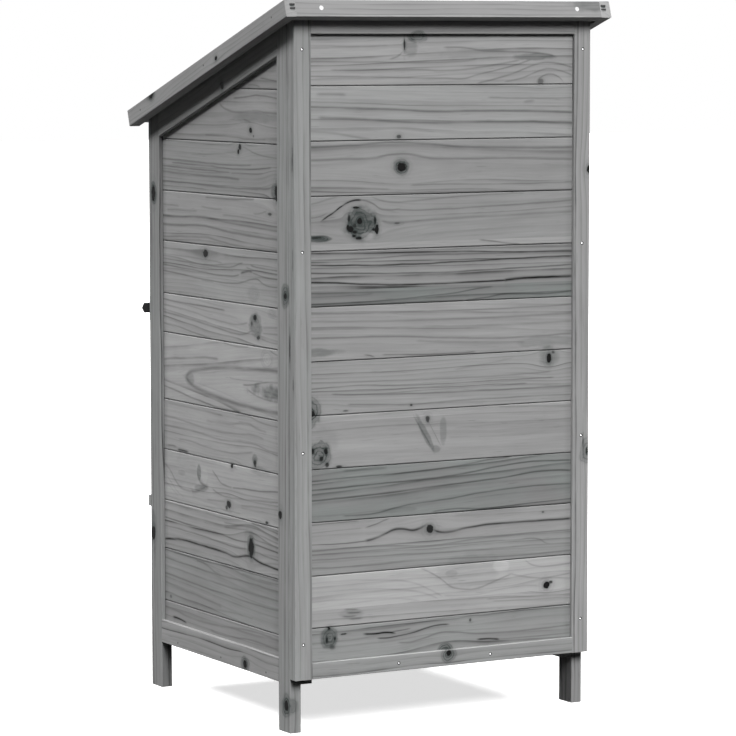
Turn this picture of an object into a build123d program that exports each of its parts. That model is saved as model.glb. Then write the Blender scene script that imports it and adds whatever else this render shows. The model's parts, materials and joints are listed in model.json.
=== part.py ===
from build123d import *
import os
from collections import namedtuple
from math import cos, radians, sin, tan

os.makedirs("parts", exist_ok=True)

# Garden shed on four legs, with a framed door in front and a lean-to roof that rises to the back.
# Millimetres, +Z up, front at -Y. Left and right are as seen by someone who faces the door.
# The origin is on the ground, below the middle of the roof.

# Overall sizes
body_width = 533.0
body_depth = 506.0
roof_back_height = 1126.0
roof_slope = 17.7
roof_side_overhang = 24.5
roof_front_overhang = 28.0
roof_back_overhang = 23.0

# Timber sections
post_thick = 19.0
post_depth = 38.0
leg_height = 75.5
bottom_rail_height = 37.5
side_top_rail_height = 41.5
front_rail_thick = 19.0
front_top_rail_height = 42.0
back_thick = 18.0
back_lift = 85.0
back_stile_width = 29.5
back_bottom_rail_height = 25.5
back_top_rail_height = 28.0
board_thick = 12.0
rebate = 6.0
eased_edge = 1.2

# Board joints, as heights above the ground
back_joints = (163.0, 244.0, 327.0, 409.0, 492.0, 575.0, 659.0, 744.0, 828.0, 912.0, 996.0)
right_joints = (146.0, 233.0, 313.0, 397.0, 480.0, 590.0, 654.0, 740.0, 822.0, 906.0, 990.0)
board_cover = 84.4
least_board = 20.0
joint_gap = 0.8
tongue_thick = 4.0
tongue_height = 4.0
tongue_play = 0.15

# Roof
fascia_thick = 18.5
fascia_lip = 0.5
cap_drop = 9.0
front_drop = 3.0
deck_thick = 15.0
felt_thick = 2.5
roof_batten_width = 38.0
roof_batten_height = 19.0
roof_batten_spacing = 170.0

# Door and its hinges
door_gap = 3.0
door_thick = 18.0
door_stile_width = 38.0
door_rail_height = 38.0
hinge_inset = 110.0
hinge_height = 60.0
leaf_width = 16.0
leaf_thick = 1.5
knuckle_radius = 3.5
hinge_pin_radius = 1.5
hinge_pin_overhang = 1.0
hinge_pin_head_radius = 2.6
hinge_pin_head_thick = 1.2
hinge_screw_edge = 10.0
stop_width = 12.0
knob_height = 520.0
knob_radius = 12.0
knob_neck_radius = 5.5
knob_foot_radius = 8.0
knob_length = 22.0
knob_rim = 4.0

# Turn latch and turn button on the right front post
latch_height = 627.0
latch_width = 16.5
latch_reach = 21.5
latch_point = 4.0
latch_thick = 4.0
latch_edge = 1.2
latch_plate_thick = 2.0
latch_plate_height = 46.0
latch_plate_margin = 1.0
latch_screw_edge = 6.0
button_height = 307.0
button_width = 18.0
button_thick = 10.2
button_edge = 1.0
button_end_gap = 0.3
button_pivot_edge = 5.0

# Floor and shelves
bearer_width = 19.0
bearer_height = 15.5
floor_thick = 12.0
floor_boards_count = 5
floor_gap = 2.0
shelf_thick = 12.0
shelf_heights = {"lower": 365.0, "upper": 627.0}
shelf_front_setback = 45.0
shelf_slats_count = 4
shelf_slat_gap = 8.0
cleat_width = 15.0
cleat_height = 20.0

# Fasteners: radius and thickness of the head, radius and length of the shank
Screw = namedtuple("Screw", "head_radius head_thick shank_radius length")
panel_screw = Screw(2.6, 1.2, 1.5, 30.0)
fascia_screw = Screw(3.5, 1.2, 1.6, 36.0)
leaf_screw = Screw(2.6, 1.3, 1.4, 15.0)
latch_screw = Screw(2.6, 1.2, 1.4, 15.0)
pivot_screw = Screw(4.0, 2.0, 2.0, 24.0)
rail_nail = Screw(1.6, 0.6, 0.9, 31.0)
fascia_nail = Screw(1.6, 0.6, 0.9, 34.0)
stile_screw_heights = (140.0, 436.0, 743.5, 1051.0)
stile_screw_edge = 5.0
rail_screw_offset = 83.5
rail_nail_end = 98.0
fascia_screw_inset = 62.0
fascia_nail_inset = 47.0
staple_width = 9.0
staple_wire = 1.2
staple_leg = 10.0
staple_edge = 1.5
staple_heights = (12.5, 18.5)

# Clearances
fit_gap = 0.3
screw_play = 0.05
pin_play = 0.05
turn_gap = 0.3

# Places worked out from the sizes
slope_sin = sin(radians(roof_slope))
slope_cos = cos(radians(roof_slope))
slope_tan = tan(radians(roof_slope))
half_width = body_width / 2
inner_x = half_width - post_thick
fascia_height = cap_drop + deck_thick + felt_thick + fascia_lip
roof_width = body_width + 2 * roof_side_overhang
roof_depth = body_depth + roof_front_overhang + roof_back_overhang
roof_length = (roof_depth - fascia_height * slope_sin) / slope_cos
front_y = -roof_depth / 2 + roof_front_overhang
back_y = front_y + body_depth
back_inner_y = back_y - back_thick
front_post_back = front_y + post_depth
rear_post_front = back_inner_y - post_depth
roof_under_back = roof_back_height - fascia_height * slope_cos
side_rail_top = leg_height + bottom_rail_height

# The roof's own plane: its origin is on the lower back edge, local Y runs up the slope to the back.
roof_plane = Plane(
    origin=(0, roof_depth / 2, roof_under_back), x_dir=(1, 0, 0), z_dir=(0, -slope_sin, slope_cos)
)
wall_top = roof_plane.offset(cap_drop)
slope_axis = Axis((0, 0, 0), roof_plane.y_dir)


def height_on(plane, y):
    """Height of a plane that slopes as the roof does, at a given depth."""
    return plane.origin.Z + (y - plane.origin.Y) * slope_tan


def finish(builder, label):
    """Name a finished piece and write it."""
    builder.part.label = label
    export_step(builder.part, f"parts/{label}.step")


def board_rows(low, high, joints):
    """Lower and upper limits of the boards that fill a panel from low to high."""
    inside = [joint for joint in joints if low + least_board < joint < high - least_board]
    limits = [low] + inside + [high]
    return list(zip(limits, limits[1:]))


def even_joints(low, high):
    """Joints of equal boards, from the bottom up."""
    count = int((high - low) / board_cover)
    return [low + board_cover * step for step in range(1, count + 1)]


def lay_boards(rows, plane, across, length):
    """Tongued and grooved boards; across is the middle of their thickness on the sketch plane."""
    for row, (low, high) in enumerate(rows):
        first = row == 0
        last = row == len(rows) - 1
        bottom = low if first else low + joint_gap / 2
        top = high if last else high - joint_gap / 2
        with BuildSketch(plane) as section:
            with Locations((across, bottom)):
                Rectangle(board_thick, top - bottom, align=(Align.CENTER, Align.MIN))
            if not last:
                with Locations((across, top)):
                    Rectangle(tongue_thick, tongue_height, align=(Align.CENTER, Align.MIN))
            if not first:
                with Locations((across, bottom)):
                    Rectangle(
                        tongue_thick + 2 * tongue_play,
                        tongue_height,
                        align=(Align.CENTER, Align.MIN),
                        mode=Mode.SUBTRACT,
                    )
        extrude(section.sketch, amount=length)


def drive(places, screw, sunk=True):
    """Screws or nails at surface planes; a sunk head is flush with the surface."""
    head_side = Align.MAX if sunk else Align.MIN
    with Locations(*places):
        Cylinder(screw.head_radius, screw.head_thick, align=(Align.CENTER, Align.CENTER, head_side))
        Cylinder(screw.shank_radius, screw.length, align=(Align.CENTER, Align.CENTER, Align.MAX))


def drill(places, screw, sunk=True):
    """Holes for the same screws."""
    with Locations(*places):
        Cylinder(
            screw.shank_radius + screw_play,
            screw.length + screw_play,
            align=(Align.CENTER, Align.CENTER, Align.MAX),
            mode=Mode.SUBTRACT,
        )
        if sunk:
            Cylinder(
                screw.head_radius + screw_play,
                screw.head_thick + screw_play,
                align=(Align.CENTER, Align.CENTER, Align.MAX),
                mode=Mode.SUBTRACT,
            )


def surface(x, y, z, outward):
    """Plane on a surface, facing outward."""
    return Plane(origin=(x, y, z), z_dir=outward)


# Fastener places on the walls
rear_post_top = height_on(wall_top, rear_post_front)
stile_screw_rows = [
    z for z in stile_screw_heights if back_lift + least_board < z < rear_post_top - least_board
]
stile_screw_places = {
    side: [surface(side * (inner_x + stile_screw_edge), back_y, z, (0, 1, 0)) for z in stile_screw_rows]
    for side in (-1, 1)
}
rail_screw_height = leg_height + bearer_height + floor_thick / 2
rail_screw_places = [
    surface(side * rail_screw_offset, back_y, rail_screw_height, (0, 1, 0)) for side in (-1, 1)
]
rail_nail_height = leg_height + bearer_height / 2
rail_nail_depths = (front_y + rail_nail_end, front_y + body_depth / 2, back_y - rail_nail_end)
rail_nail_places = {
    side: [surface(side * half_width, y, rail_nail_height, (side, 0, 0)) for y in rail_nail_depths]
    for side in (-1, 1)
}

# Fastener places on the roof, in its own plane
fascia_fixing_height = cap_drop + deck_thick / 3
fascia_screw_places = [
    surface(side * (roof_width / 2 - fascia_screw_inset), 0, fascia_fixing_height, (0, 1, 0))
    for side in (-1, 1)
]
fascia_nail_depths = (-fascia_nail_inset, -roof_length / 2, fascia_nail_inset - roof_length)
fascia_nail_places = {
    side: [
        surface(side * roof_width / 2, depth, fascia_fixing_height, (side, 0, 0))
        for depth in fascia_nail_depths
    ]
    for side in (-1, 1)
}

# Side panels: the boards lie in rebates on the inside of the posts and rails.
panel_low = side_rail_top - rebate
panel_front = front_post_back - rebate
panel_back = rear_post_front + rebate
side_rail_under = roof_plane.offset(cap_drop - side_top_rail_height)
panel_top = side_rail_under.offset(rebate)


def side_panel_rebate(side):
    """Cut the room for one side's boards out of the piece being made."""
    with BuildSketch(Plane.YZ.offset(side * inner_x)) as field:
        with BuildLine():
            Polyline(
                (panel_front, panel_low),
                (panel_back, panel_low),
                (panel_back, height_on(panel_top, panel_back)),
                (panel_front, height_on(panel_top, panel_front)),
                close=True,
            )
        make_face()
    extrude(field.sketch, amount=side * board_thick, mode=Mode.SUBTRACT)


# Hinge, latch and button places that the posts and the door need
hinge_x = -inner_x + door_gap / 2
hinge_standoff = knuckle_radius + turn_gap
hinge_y = front_y - hinge_standoff
door_low = side_rail_top + door_gap
front_rail_under = height_on(wall_top, front_y) - front_top_rail_height
door_high = front_rail_under - door_gap
hinge_heights = {"upper": door_high - hinge_inset, "lower": door_low + hinge_inset}
leaf_start = knuckle_radius + fit_gap
leaf_screw_reach = (leaf_width + leaf_start) / 2
hinge_screw_places = {
    side: [
        surface(hinge_x + side * leaf_screw_reach, front_y - leaf_thick, middle + step, (0, -1, 0))
        for middle in hinge_heights.values()
        for step in (hinge_screw_edge - hinge_height / 2, hinge_height / 2 - hinge_screw_edge)
    ]
    for side in (-1, 1)
}
latch_x = half_width - post_thick / 2
latch_back = latch_plate_thick + turn_gap
latch_front = latch_back + latch_thick
latch_pivot_place = surface(latch_x, front_y - latch_front - turn_gap, latch_height, (0, -1, 0))
latch_screw_places = [
    surface(latch_x, front_y - latch_plate_thick, latch_height + step, (0, -1, 0))
    for step in (latch_screw_edge - latch_plate_height / 2, latch_plate_height / 2 - latch_screw_edge)
]
button_x = inner_x + button_pivot_edge
button_front = turn_gap + button_thick
button_pivot_place = surface(button_x, front_y - button_front - turn_gap, button_height, (0, -1, 0))

# Posts, which are also the legs
for side, hand in ((-1, "left"), (1, "right")):
    with BuildPart() as front_post:
        with Locations((side * (half_width - post_thick / 2), front_y, 0)):
            Box(post_thick, post_depth, roof_back_height, align=(Align.CENTER, Align.MIN, Align.MIN))
        fillet(front_post.edges().filter_by(Axis.Z), eased_edge)
        side_panel_rebate(side)
        if side < 0:
            drill(hinge_screw_places[-1], leaf_screw, sunk=False)
        else:
            drill(latch_screw_places, latch_screw, sunk=False)
            drill([latch_pivot_place], pivot_screw, sunk=False)
            drill([button_pivot_place], pivot_screw, sunk=False)
        split(bisect_by=wall_top, keep=Keep.BOTTOM)
    finish(front_post, f"front_{hand}_post")

    with BuildPart() as rear_post:
        with Locations((side * (half_width - post_thick / 2), rear_post_front, 0)):
            Box(post_thick, post_depth, roof_back_height, align=(Align.CENTER, Align.MIN, Align.MIN))
        fillet(rear_post.edges().filter_by(Axis.Z), eased_edge)
        side_panel_rebate(side)
        drill(stile_screw_places[side], panel_screw)
        split(bisect_by=wall_top, keep=Keep.BOTTOM)
    finish(rear_post, f"rear_{hand}_post")

# Side rails and boards
for side, hand in ((-1, "left"), (1, "right")):
    with BuildPart() as bottom_rail:
        with Locations((side * (half_width - post_thick / 2), front_post_back, leg_height)):
            Box(
                post_thick,
                rear_post_front - front_post_back,
                bottom_rail_height,
                align=(Align.CENTER, Align.MIN, Align.MIN),
            )
        fillet(bottom_rail.edges().filter_by(Axis.Y), eased_edge)
        side_panel_rebate(side)
        drill(rail_nail_places[side], rail_nail)
    finish(bottom_rail, f"{hand}_bottom_rail")

    with BuildPart(wall_top) as top_rail:
        with Locations((side * (half_width - post_thick / 2), 0, 0)):
            Box(
                post_thick,
                roof_length,
                side_top_rail_height,
                align=(Align.CENTER, Align.MAX, Align.MAX),
            )
        fillet(top_rail.edges().filter_by(slope_axis), eased_edge)
        split(bisect_by=surface(0, rear_post_front, 0, (0, 1, 0)), keep=Keep.BOTTOM)
        split(bisect_by=surface(0, front_post_back, 0, (0, 1, 0)), keep=Keep.TOP)
        side_panel_rebate(side)
    finish(top_rail, f"{hand}_top_rail")

    field_low = panel_low + fit_gap
    field_high = height_on(panel_top, panel_back)
    side_rows = board_rows(
        field_low, field_high, right_joints if side > 0 else even_joints(field_low, field_high)
    )
    with BuildPart() as side_boards:
        lay_boards(
            side_rows,
            Plane.XZ.offset(fit_gap - panel_back),
            side * (inner_x + board_thick / 2),
            panel_back - panel_front - 2 * fit_gap,
        )
        split(bisect_by=panel_top.offset(-fit_gap), keep=Keep.BOTTOM)
    finish(side_boards, f"{hand}_boards")

# Back panel, screwed to the rear posts from behind
back_opening = half_width - back_stile_width + rebate
back_field_low = back_lift + back_bottom_rail_height - rebate
back_wall_top = height_on(wall_top, back_y)
back_top_rail_under = back_wall_top - back_top_rail_height
back_field_high = back_top_rail_under + rebate


def back_panel_rebate():
    """Cut the room for the back boards out of the piece being made."""
    with BuildSketch(Plane.XZ.offset(-back_inner_y)) as field:
        with Locations((0, back_field_low)):
            Rectangle(2 * back_opening, back_field_high - back_field_low, align=(Align.CENTER, Align.MIN))
    extrude(field.sketch, amount=-board_thick, mode=Mode.SUBTRACT)


for side, hand in ((-1, "left"), (1, "right")):
    with BuildPart() as back_stile:
        with Locations((side * (half_width - back_stile_width / 2), back_inner_y, back_lift)):
            Box(back_stile_width, back_thick, roof_back_height, align=(Align.CENTER, Align.MIN, Align.MIN))
        fillet(back_stile.edges().filter_by(Axis.Z), eased_edge)
        back_panel_rebate()
        drill(stile_screw_places[side], panel_screw)
        split(bisect_by=wall_top, keep=Keep.BOTTOM)
    finish(back_stile, f"back_{hand}_stile")

back_rail_length = body_width - 2 * back_stile_width
with BuildPart() as back_bottom_rail:
    with Locations((0, back_inner_y, back_lift)):
        Box(back_rail_length, back_thick, back_bottom_rail_height, align=(Align.CENTER, Align.MIN, Align.MIN))
    fillet(back_bottom_rail.edges().filter_by(Axis.X), eased_edge)
    back_panel_rebate()
    drill(rail_screw_places, panel_screw)
finish(back_bottom_rail, "back_bottom_rail")

with BuildPart() as back_top_rail:
    with Locations((0, back_inner_y, back_top_rail_under)):
        Box(back_rail_length, back_thick, roof_back_height, align=(Align.CENTER, Align.MIN, Align.MIN))
    fillet(back_top_rail.edges().filter_by(Axis.X), eased_edge)
    back_panel_rebate()
    split(bisect_by=wall_top, keep=Keep.BOTTOM)
finish(back_top_rail, "back_top_rail")

with BuildPart() as back_boards:
    lay_boards(
        board_rows(back_field_low + fit_gap, back_field_high - fit_gap, back_joints),
        Plane.YZ.offset(fit_gap - back_opening),
        back_inner_y + board_thick / 2,
        2 * (back_opening - fit_gap),
    )
finish(back_boards, "back_boards")

# Front rails, above and below the door
with BuildPart() as front_bottom_rail:
    with Locations((0, front_y, leg_height)):
        Box(2 * inner_x, front_rail_thick, bottom_rail_height, align=(Align.CENTER, Align.MIN, Align.MIN))
    fillet(front_bottom_rail.edges().filter_by(Axis.X), eased_edge)
finish(front_bottom_rail, "front_bottom_rail")

with BuildPart() as front_top_rail:
    with Locations((0, front_y, front_rail_under)):
        Box(2 * inner_x, front_rail_thick, roof_back_height, align=(Align.CENTER, Align.MIN, Align.MIN))
    fillet(front_top_rail.edges().filter_by(Axis.X), eased_edge)
    split(bisect_by=wall_top, keep=Keep.BOTTOM)
finish(front_top_rail, "front_top_rail")

# Door, a boarded frame that lies flush between the front posts
door_half = inner_x - door_gap
door_back_y = front_y + door_thick
door_opening = door_half - door_stile_width + rebate
door_field_low = door_low + door_rail_height - rebate
door_field_high = door_high - door_rail_height + rebate


def door_panel_rebate():
    """Cut the room for the door boards out of the piece being made."""
    with BuildSketch(Plane.XZ.offset(-door_back_y)) as field:
        with Locations((0, door_field_low)):
            Rectangle(2 * door_opening, door_field_high - door_field_low, align=(Align.CENTER, Align.MIN))
    extrude(field.sketch, amount=board_thick, mode=Mode.SUBTRACT)


for side, role in ((-1, "hinge"), (1, "latch")):
    with BuildPart() as door_stile:
        with Locations((side * (door_half - door_stile_width / 2), front_y, door_low)):
            Box(door_stile_width, door_thick, door_high - door_low, align=(Align.CENTER, Align.MIN, Align.MIN))
        fillet(door_stile.edges().filter_by(Axis.Z), eased_edge)
        door_panel_rebate()
        if side < 0:
            drill(hinge_screw_places[1], leaf_screw, sunk=False)
    finish(door_stile, f"door_{role}_stile")

for low, role in ((door_low, "bottom"), (door_high - door_rail_height, "top")):
    with BuildPart() as door_rail:
        with Locations((0, front_y, low)):
            Box(
                2 * (door_half - door_stile_width),
                door_thick,
                door_rail_height,
                align=(Align.CENTER, Align.MIN, Align.MIN),
            )
        fillet(door_rail.edges().filter_by(Axis.X), eased_edge)
        door_panel_rebate()
    finish(door_rail, f"door_{role}_rail")

with BuildPart() as door_boards:
    lay_boards(
        board_rows(
            door_field_low + fit_gap,
            door_field_high - fit_gap,
            even_joints(door_field_low + fit_gap, door_field_high - fit_gap),
        ),
        Plane.YZ.offset(fit_gap - door_opening),
        door_back_y - board_thick / 2,
        2 * (door_opening - fit_gap),
    )
finish(door_boards, "door_boards")

# Butt hinges: the post leaf has the two end knuckles, the door leaf the middle one.
knuckle_share = hinge_height / 3
for level, middle in hinge_heights.items():
    end_knuckles = [middle - knuckle_share, middle + knuckle_share]
    for side, role, knuckles in ((-1, "post", end_knuckles), (1, "door", [middle])):
        knuckle_height = knuckle_share - 2 * turn_gap if role == "door" else knuckle_share
        with BuildPart() as leaf:
            with Locations((hinge_x + side * leaf_start, front_y, middle)):
                Box(
                    leaf_width - leaf_start,
                    leaf_thick,
                    hinge_height,
                    align=(Align.MIN if side > 0 else Align.MAX, Align.MAX, Align.CENTER),
                )
            with Locations(*[(hinge_x, front_y, z) for z in knuckles]):
                Box(
                    leaf_start,
                    leaf_thick,
                    knuckle_height,
                    align=(Align.MIN if side > 0 else Align.MAX, Align.MAX, Align.CENTER),
                )
            with Locations(*[(hinge_x, hinge_y, z) for z in knuckles]):
                Cylinder(knuckle_radius, knuckle_height)
            with Locations((hinge_x, hinge_y, middle)):
                Cylinder(hinge_pin_radius + pin_play, hinge_height, mode=Mode.SUBTRACT)
            drill(hinge_screw_places[side], leaf_screw, sunk=False)
        finish(leaf, f"{level}_hinge_{role}_leaf")

    pin_top = middle + hinge_height / 2
    with BuildPart() as hinge_pin:
        with Locations((hinge_x, hinge_y, pin_top)):
            Cylinder(
                hinge_pin_radius,
                hinge_height + hinge_pin_overhang,
                align=(Align.CENTER, Align.CENTER, Align.MAX),
            )
            Cylinder(
                hinge_pin_head_radius,
                hinge_pin_head_thick,
                align=(Align.CENTER, Align.CENTER, Align.MIN),
            )
    finish(hinge_pin, f"{level}_hinge_pin")

for side, role in ((-1, "post"), (1, "door")):
    with BuildPart() as hinge_screws:
        drive(hinge_screw_places[side], leaf_screw, sunk=False)
        heads = hinge_screws.edges().filter_by(GeomType.CIRCLE).group_by(Axis.Y)[0]
        fillet(heads, leaf_screw.head_thick / 2)
    finish(hinge_screws, f"hinge_{role}_screws")

# Strip on the right post that the door closes against
with BuildPart() as door_stop:
    with Locations((inner_x, door_back_y + turn_gap, door_low)):
        Box(stop_width, stop_width, door_high - door_low, align=(Align.MAX, Align.MIN, Align.MIN))
finish(door_stop, "door_stop")

# Door knob, turned from one piece
knob_x = door_half - door_stile_width / 2
with BuildPart() as door_knob:
    with BuildSketch(Plane(origin=(knob_x, front_y, knob_height), x_dir=(1, 0, 0), z_dir=(0, 0, 1))):
        with BuildLine():
            foot = Line((0, 0), (knob_foot_radius, 0))
            neck = ThreePointArc(
                foot @ 1,
                (knob_neck_radius, -knob_length / 4),
                (knob_radius - knob_rim, -knob_length / 2),
            )
            rim = ThreePointArc(
                neck @ 1,
                (knob_radius, -3 * knob_length / 4),
                (knob_radius - knob_rim, -knob_length),
            )
            face = Line(rim @ 1, (0, -knob_length))
            Line(face @ 1, foot @ 0)
        make_face()
    revolve(axis=Axis((knob_x, front_y, knob_height), (0, 1, 0)))
finish(door_knob, "door_knob")

# Turn latch: a pointed arm on a plate, swung away from the door
latch_plate_width = post_thick - 2 * latch_plate_margin
with BuildPart() as latch_plate:
    with BuildSketch(Plane.XZ.offset(-front_y)):
        with Locations((latch_x, latch_height)):
            RectangleRounded(latch_plate_width, latch_plate_height, latch_plate_width / 4)
    extrude(amount=latch_plate_thick)
    drill(latch_screw_places, latch_screw)
    drill([latch_pivot_place], pivot_screw, sunk=False)
finish(latch_plate, "latch_plate")

with BuildPart() as latch_arm:
    with BuildSketch(Plane.XZ.offset(latch_back - front_y)):
        with BuildLine():
            tail = CenterArc((latch_x, latch_height), latch_width / 2, 90, 180)
            point_start = latch_x + latch_reach - latch_point
            Polyline(
                tail @ 1,
                (point_start, latch_height - latch_width / 2),
                (latch_x + latch_reach, latch_height),
                (point_start, latch_height + latch_width / 2),
                tail @ 0,
            )
        make_face()
    extrude(amount=latch_thick)
    chamfer(latch_arm.faces().sort_by(Axis.Y)[0].edges(), latch_edge)
    drill([latch_pivot_place], pivot_screw, sunk=False)
finish(latch_arm, "latch_arm")

with BuildPart() as latch_plate_screws:
    drive(latch_screw_places, latch_screw)
finish(latch_plate_screws, "latch_plate_screws")

for place, role in ((latch_pivot_place, "latch"), (button_pivot_place, "button")):
    with BuildPart() as pivot:
        drive([place], pivot_screw, sunk=False)
        fillet(pivot.edges().filter_by(GeomType.CIRCLE).group_by(Axis.Y)[0], pivot_screw.head_thick / 2)
    finish(pivot, f"{role}_pivot_screw")

# Turn button, a small block that turns about a screw
with BuildPart() as turn_button:
    with BuildSketch(Plane.XZ.offset(turn_gap - front_y)):
        with Locations(((inner_x + half_width) / 2, button_height)):
            Rectangle(post_thick - 2 * button_end_gap, button_width)
    extrude(amount=button_thick)
    chamfer(turn_button.faces().sort_by(Axis.Y)[0].edges(), button_edge)
    drill([button_pivot_place], pivot_screw, sunk=False)
finish(turn_button, "turn_button")

# Floor boards on two bearers
floor_low = leg_height + bearer_height
floor_front = front_y + front_rail_thick
for side, hand in ((-1, "left"), (1, "right")):
    with BuildPart() as floor_bearer:
        with Locations((side * (inner_x - bearer_width / 2), floor_front, leg_height)):
            Box(
                bearer_width,
                back_inner_y - floor_front,
                bearer_height,
                align=(Align.CENTER, Align.MIN, Align.MIN),
            )
        drill(rail_nail_places[side], rail_nail)
    finish(floor_bearer, f"floor_{hand}_bearer")

floor_pitch = (back_inner_y - floor_front + floor_gap) / floor_boards_count
with BuildPart() as floor_boards:
    with Locations(
        *[(0, floor_front + floor_pitch * step, floor_low) for step in range(floor_boards_count)]
    ):
        Box(
            2 * inner_x,
            floor_pitch - floor_gap,
            floor_thick,
            align=(Align.CENTER, Align.MIN, Align.MIN),
        )
    drill(rail_screw_places, panel_screw)
finish(floor_boards, "floor_boards")

# Two slatted shelves, each on a pair of cleats
shelf_front = front_y + shelf_front_setback
shelf_pitch = (back_inner_y - shelf_front + shelf_slat_gap) / shelf_slats_count
for level, shelf_top in shelf_heights.items():
    shelf_low = shelf_top - shelf_thick
    for side, hand in ((-1, "left"), (1, "right")):
        with BuildPart() as shelf_cleat:
            with Locations((side * inner_x, shelf_front, shelf_low)):
                Box(
                    cleat_width,
                    back_inner_y - shelf_front,
                    cleat_height,
                    align=(Align.MAX if side > 0 else Align.MIN, Align.MIN, Align.MAX),
                )
        finish(shelf_cleat, f"{level}_shelf_{hand}_cleat")

    with BuildPart() as shelf:
        with Locations(
            *[(0, shelf_front + shelf_pitch * step, shelf_low) for step in range(shelf_slats_count)]
        ):
            Box(
                2 * inner_x,
                shelf_pitch - shelf_slat_gap,
                shelf_thick,
                align=(Align.CENTER, Align.MIN, Align.MIN),
            )
    finish(shelf, f"{level}_shelf")

# Roof: a deck on the walls, edged by fascias that hang below it. The felt runs out over the front one.
deck_half = roof_width / 2 - fascia_thick
deck_length = roof_length - 2 * fascia_thick
deck_top = cap_drop + deck_thick


def staples(play, mode):
    """Two staples in the back end of each side fascia, beside its joint with the back fascia."""
    for side in (-1, 1):
        middle = side * (deck_half + staple_edge + staple_width / 2)
        with Locations(*[(middle, play, z) for z in staple_heights]):
            Box(
                staple_width + 2 * play,
                staple_wire + 2 * play,
                staple_wire + 2 * play,
                align=(Align.CENTER, Align.MAX, Align.CENTER),
                mode=mode,
            )
        leg = (staple_width - staple_wire) / 2
        with Locations(*[(middle + end * leg, play, z) for z in staple_heights for end in (-1, 1)]):
            Box(
                staple_wire + 2 * play,
                staple_leg + 2 * play,
                staple_wire + 2 * play,
                align=(Align.CENTER, Align.MAX, Align.CENTER),
                mode=mode,
            )


for side, hand in ((-1, "left"), (1, "right")):
    with BuildPart(roof_plane) as side_fascia:
        with Locations((side * roof_width / 2, 0, 0)):
            Box(
                fascia_thick,
                roof_length,
                fascia_height,
                align=(Align.MAX if side > 0 else Align.MIN, Align.MAX, Align.MIN),
            )
        fillet(side_fascia.edges().filter_by(slope_axis), eased_edge)
        drill(fascia_nail_places[side], fascia_nail)
        staples(screw_play, Mode.SUBTRACT)
    finish(side_fascia, f"{hand}_fascia")

with BuildPart(roof_plane) as back_fascia:
    Box(2 * deck_half, fascia_thick, fascia_height, align=(Align.CENTER, Align.MAX, Align.MIN))
    fillet(back_fascia.edges().filter_by(Axis.X), eased_edge)
    drill(fascia_screw_places, fascia_screw)
finish(back_fascia, "back_fascia")

with BuildPart(roof_plane) as front_fascia:
    with Locations((0, -roof_length, deck_top)):
        Box(2 * deck_half, fascia_thick, deck_thick + front_drop, align=(Align.CENTER, Align.MIN, Align.MAX))
    fillet(front_fascia.edges().filter_by(Axis.X), eased_edge)
finish(front_fascia, "front_fascia")

with BuildPart(roof_plane) as roof_deck:
    with Locations((0, -fascia_thick, cap_drop)):
        Box(2 * deck_half, deck_length, deck_thick, align=(Align.CENTER, Align.MAX, Align.MIN))
    drill(fascia_screw_places, fascia_screw)
    drill(fascia_nail_places[-1] + fascia_nail_places[1], fascia_nail)
finish(roof_deck, "roof_deck")

with BuildPart(roof_plane) as roof_felt:
    with Locations((0, -roof_length, deck_top)):
        Box(2 * deck_half, deck_length + fascia_thick, felt_thick, align=(Align.CENTER, Align.MIN, Align.MIN))
finish(roof_felt, "roof_felt")

for step, role in ((-0.5, "front"), (0.5, "rear")):
    with BuildPart(roof_plane) as roof_batten:
        with Locations((0, step * roof_batten_spacing - roof_length / 2, cap_drop)):
            Box(
                2 * (inner_x - fit_gap),
                roof_batten_width,
                roof_batten_height,
                align=(Align.CENTER, Align.CENTER, Align.MAX),
            )
    finish(roof_batten, f"{role}_roof_batten")

# Fasteners, grouped by kind
with BuildPart() as back_panel_screws:
    drive(stile_screw_places[-1] + stile_screw_places[1] + rail_screw_places, panel_screw)
finish(back_panel_screws, "back_panel_screws")

with BuildPart() as bottom_rail_nails:
    drive(rail_nail_places[-1] + rail_nail_places[1], rail_nail)
finish(bottom_rail_nails, "bottom_rail_nails")

with BuildPart(roof_plane) as fascia_screws:
    drive(fascia_screw_places, fascia_screw)
finish(fascia_screws, "fascia_screws")

with BuildPart(roof_plane) as fascia_nails:
    drive(fascia_nail_places[-1] + fascia_nail_places[1], fascia_nail)
finish(fascia_nails, "fascia_nails")

with BuildPart(roof_plane) as fascia_staples:
    staples(0, Mode.ADD)
finish(fascia_staples, "fascia_staples")
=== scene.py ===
import json
import math
import random
from collections import namedtuple

import bmesh
import bpy
from mathutils import Matrix, Vector


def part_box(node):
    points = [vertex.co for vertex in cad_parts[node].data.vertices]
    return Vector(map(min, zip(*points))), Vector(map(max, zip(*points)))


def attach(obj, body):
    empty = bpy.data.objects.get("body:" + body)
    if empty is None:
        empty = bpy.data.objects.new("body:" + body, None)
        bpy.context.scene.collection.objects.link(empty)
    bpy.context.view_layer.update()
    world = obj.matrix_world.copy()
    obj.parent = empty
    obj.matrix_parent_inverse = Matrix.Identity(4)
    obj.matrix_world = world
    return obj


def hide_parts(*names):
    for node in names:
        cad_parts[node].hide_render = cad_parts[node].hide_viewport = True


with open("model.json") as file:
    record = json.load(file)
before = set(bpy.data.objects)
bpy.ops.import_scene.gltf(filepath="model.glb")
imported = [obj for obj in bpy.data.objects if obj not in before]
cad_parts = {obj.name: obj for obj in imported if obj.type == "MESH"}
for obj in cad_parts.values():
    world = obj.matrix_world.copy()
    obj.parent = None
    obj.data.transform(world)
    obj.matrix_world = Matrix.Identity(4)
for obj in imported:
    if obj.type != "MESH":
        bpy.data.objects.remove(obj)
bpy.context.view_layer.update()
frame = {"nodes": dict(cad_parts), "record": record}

nodes = frame["nodes"]
record = frame["record"]
node_body = {node: body for body, members in record["behaviour"]["bodies"].items() for node in members}
node_slot = {part["node"]: part["material_slot"] for part in record["subparts"]}
scene = bpy.context.scene
MM = 0.001

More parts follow.
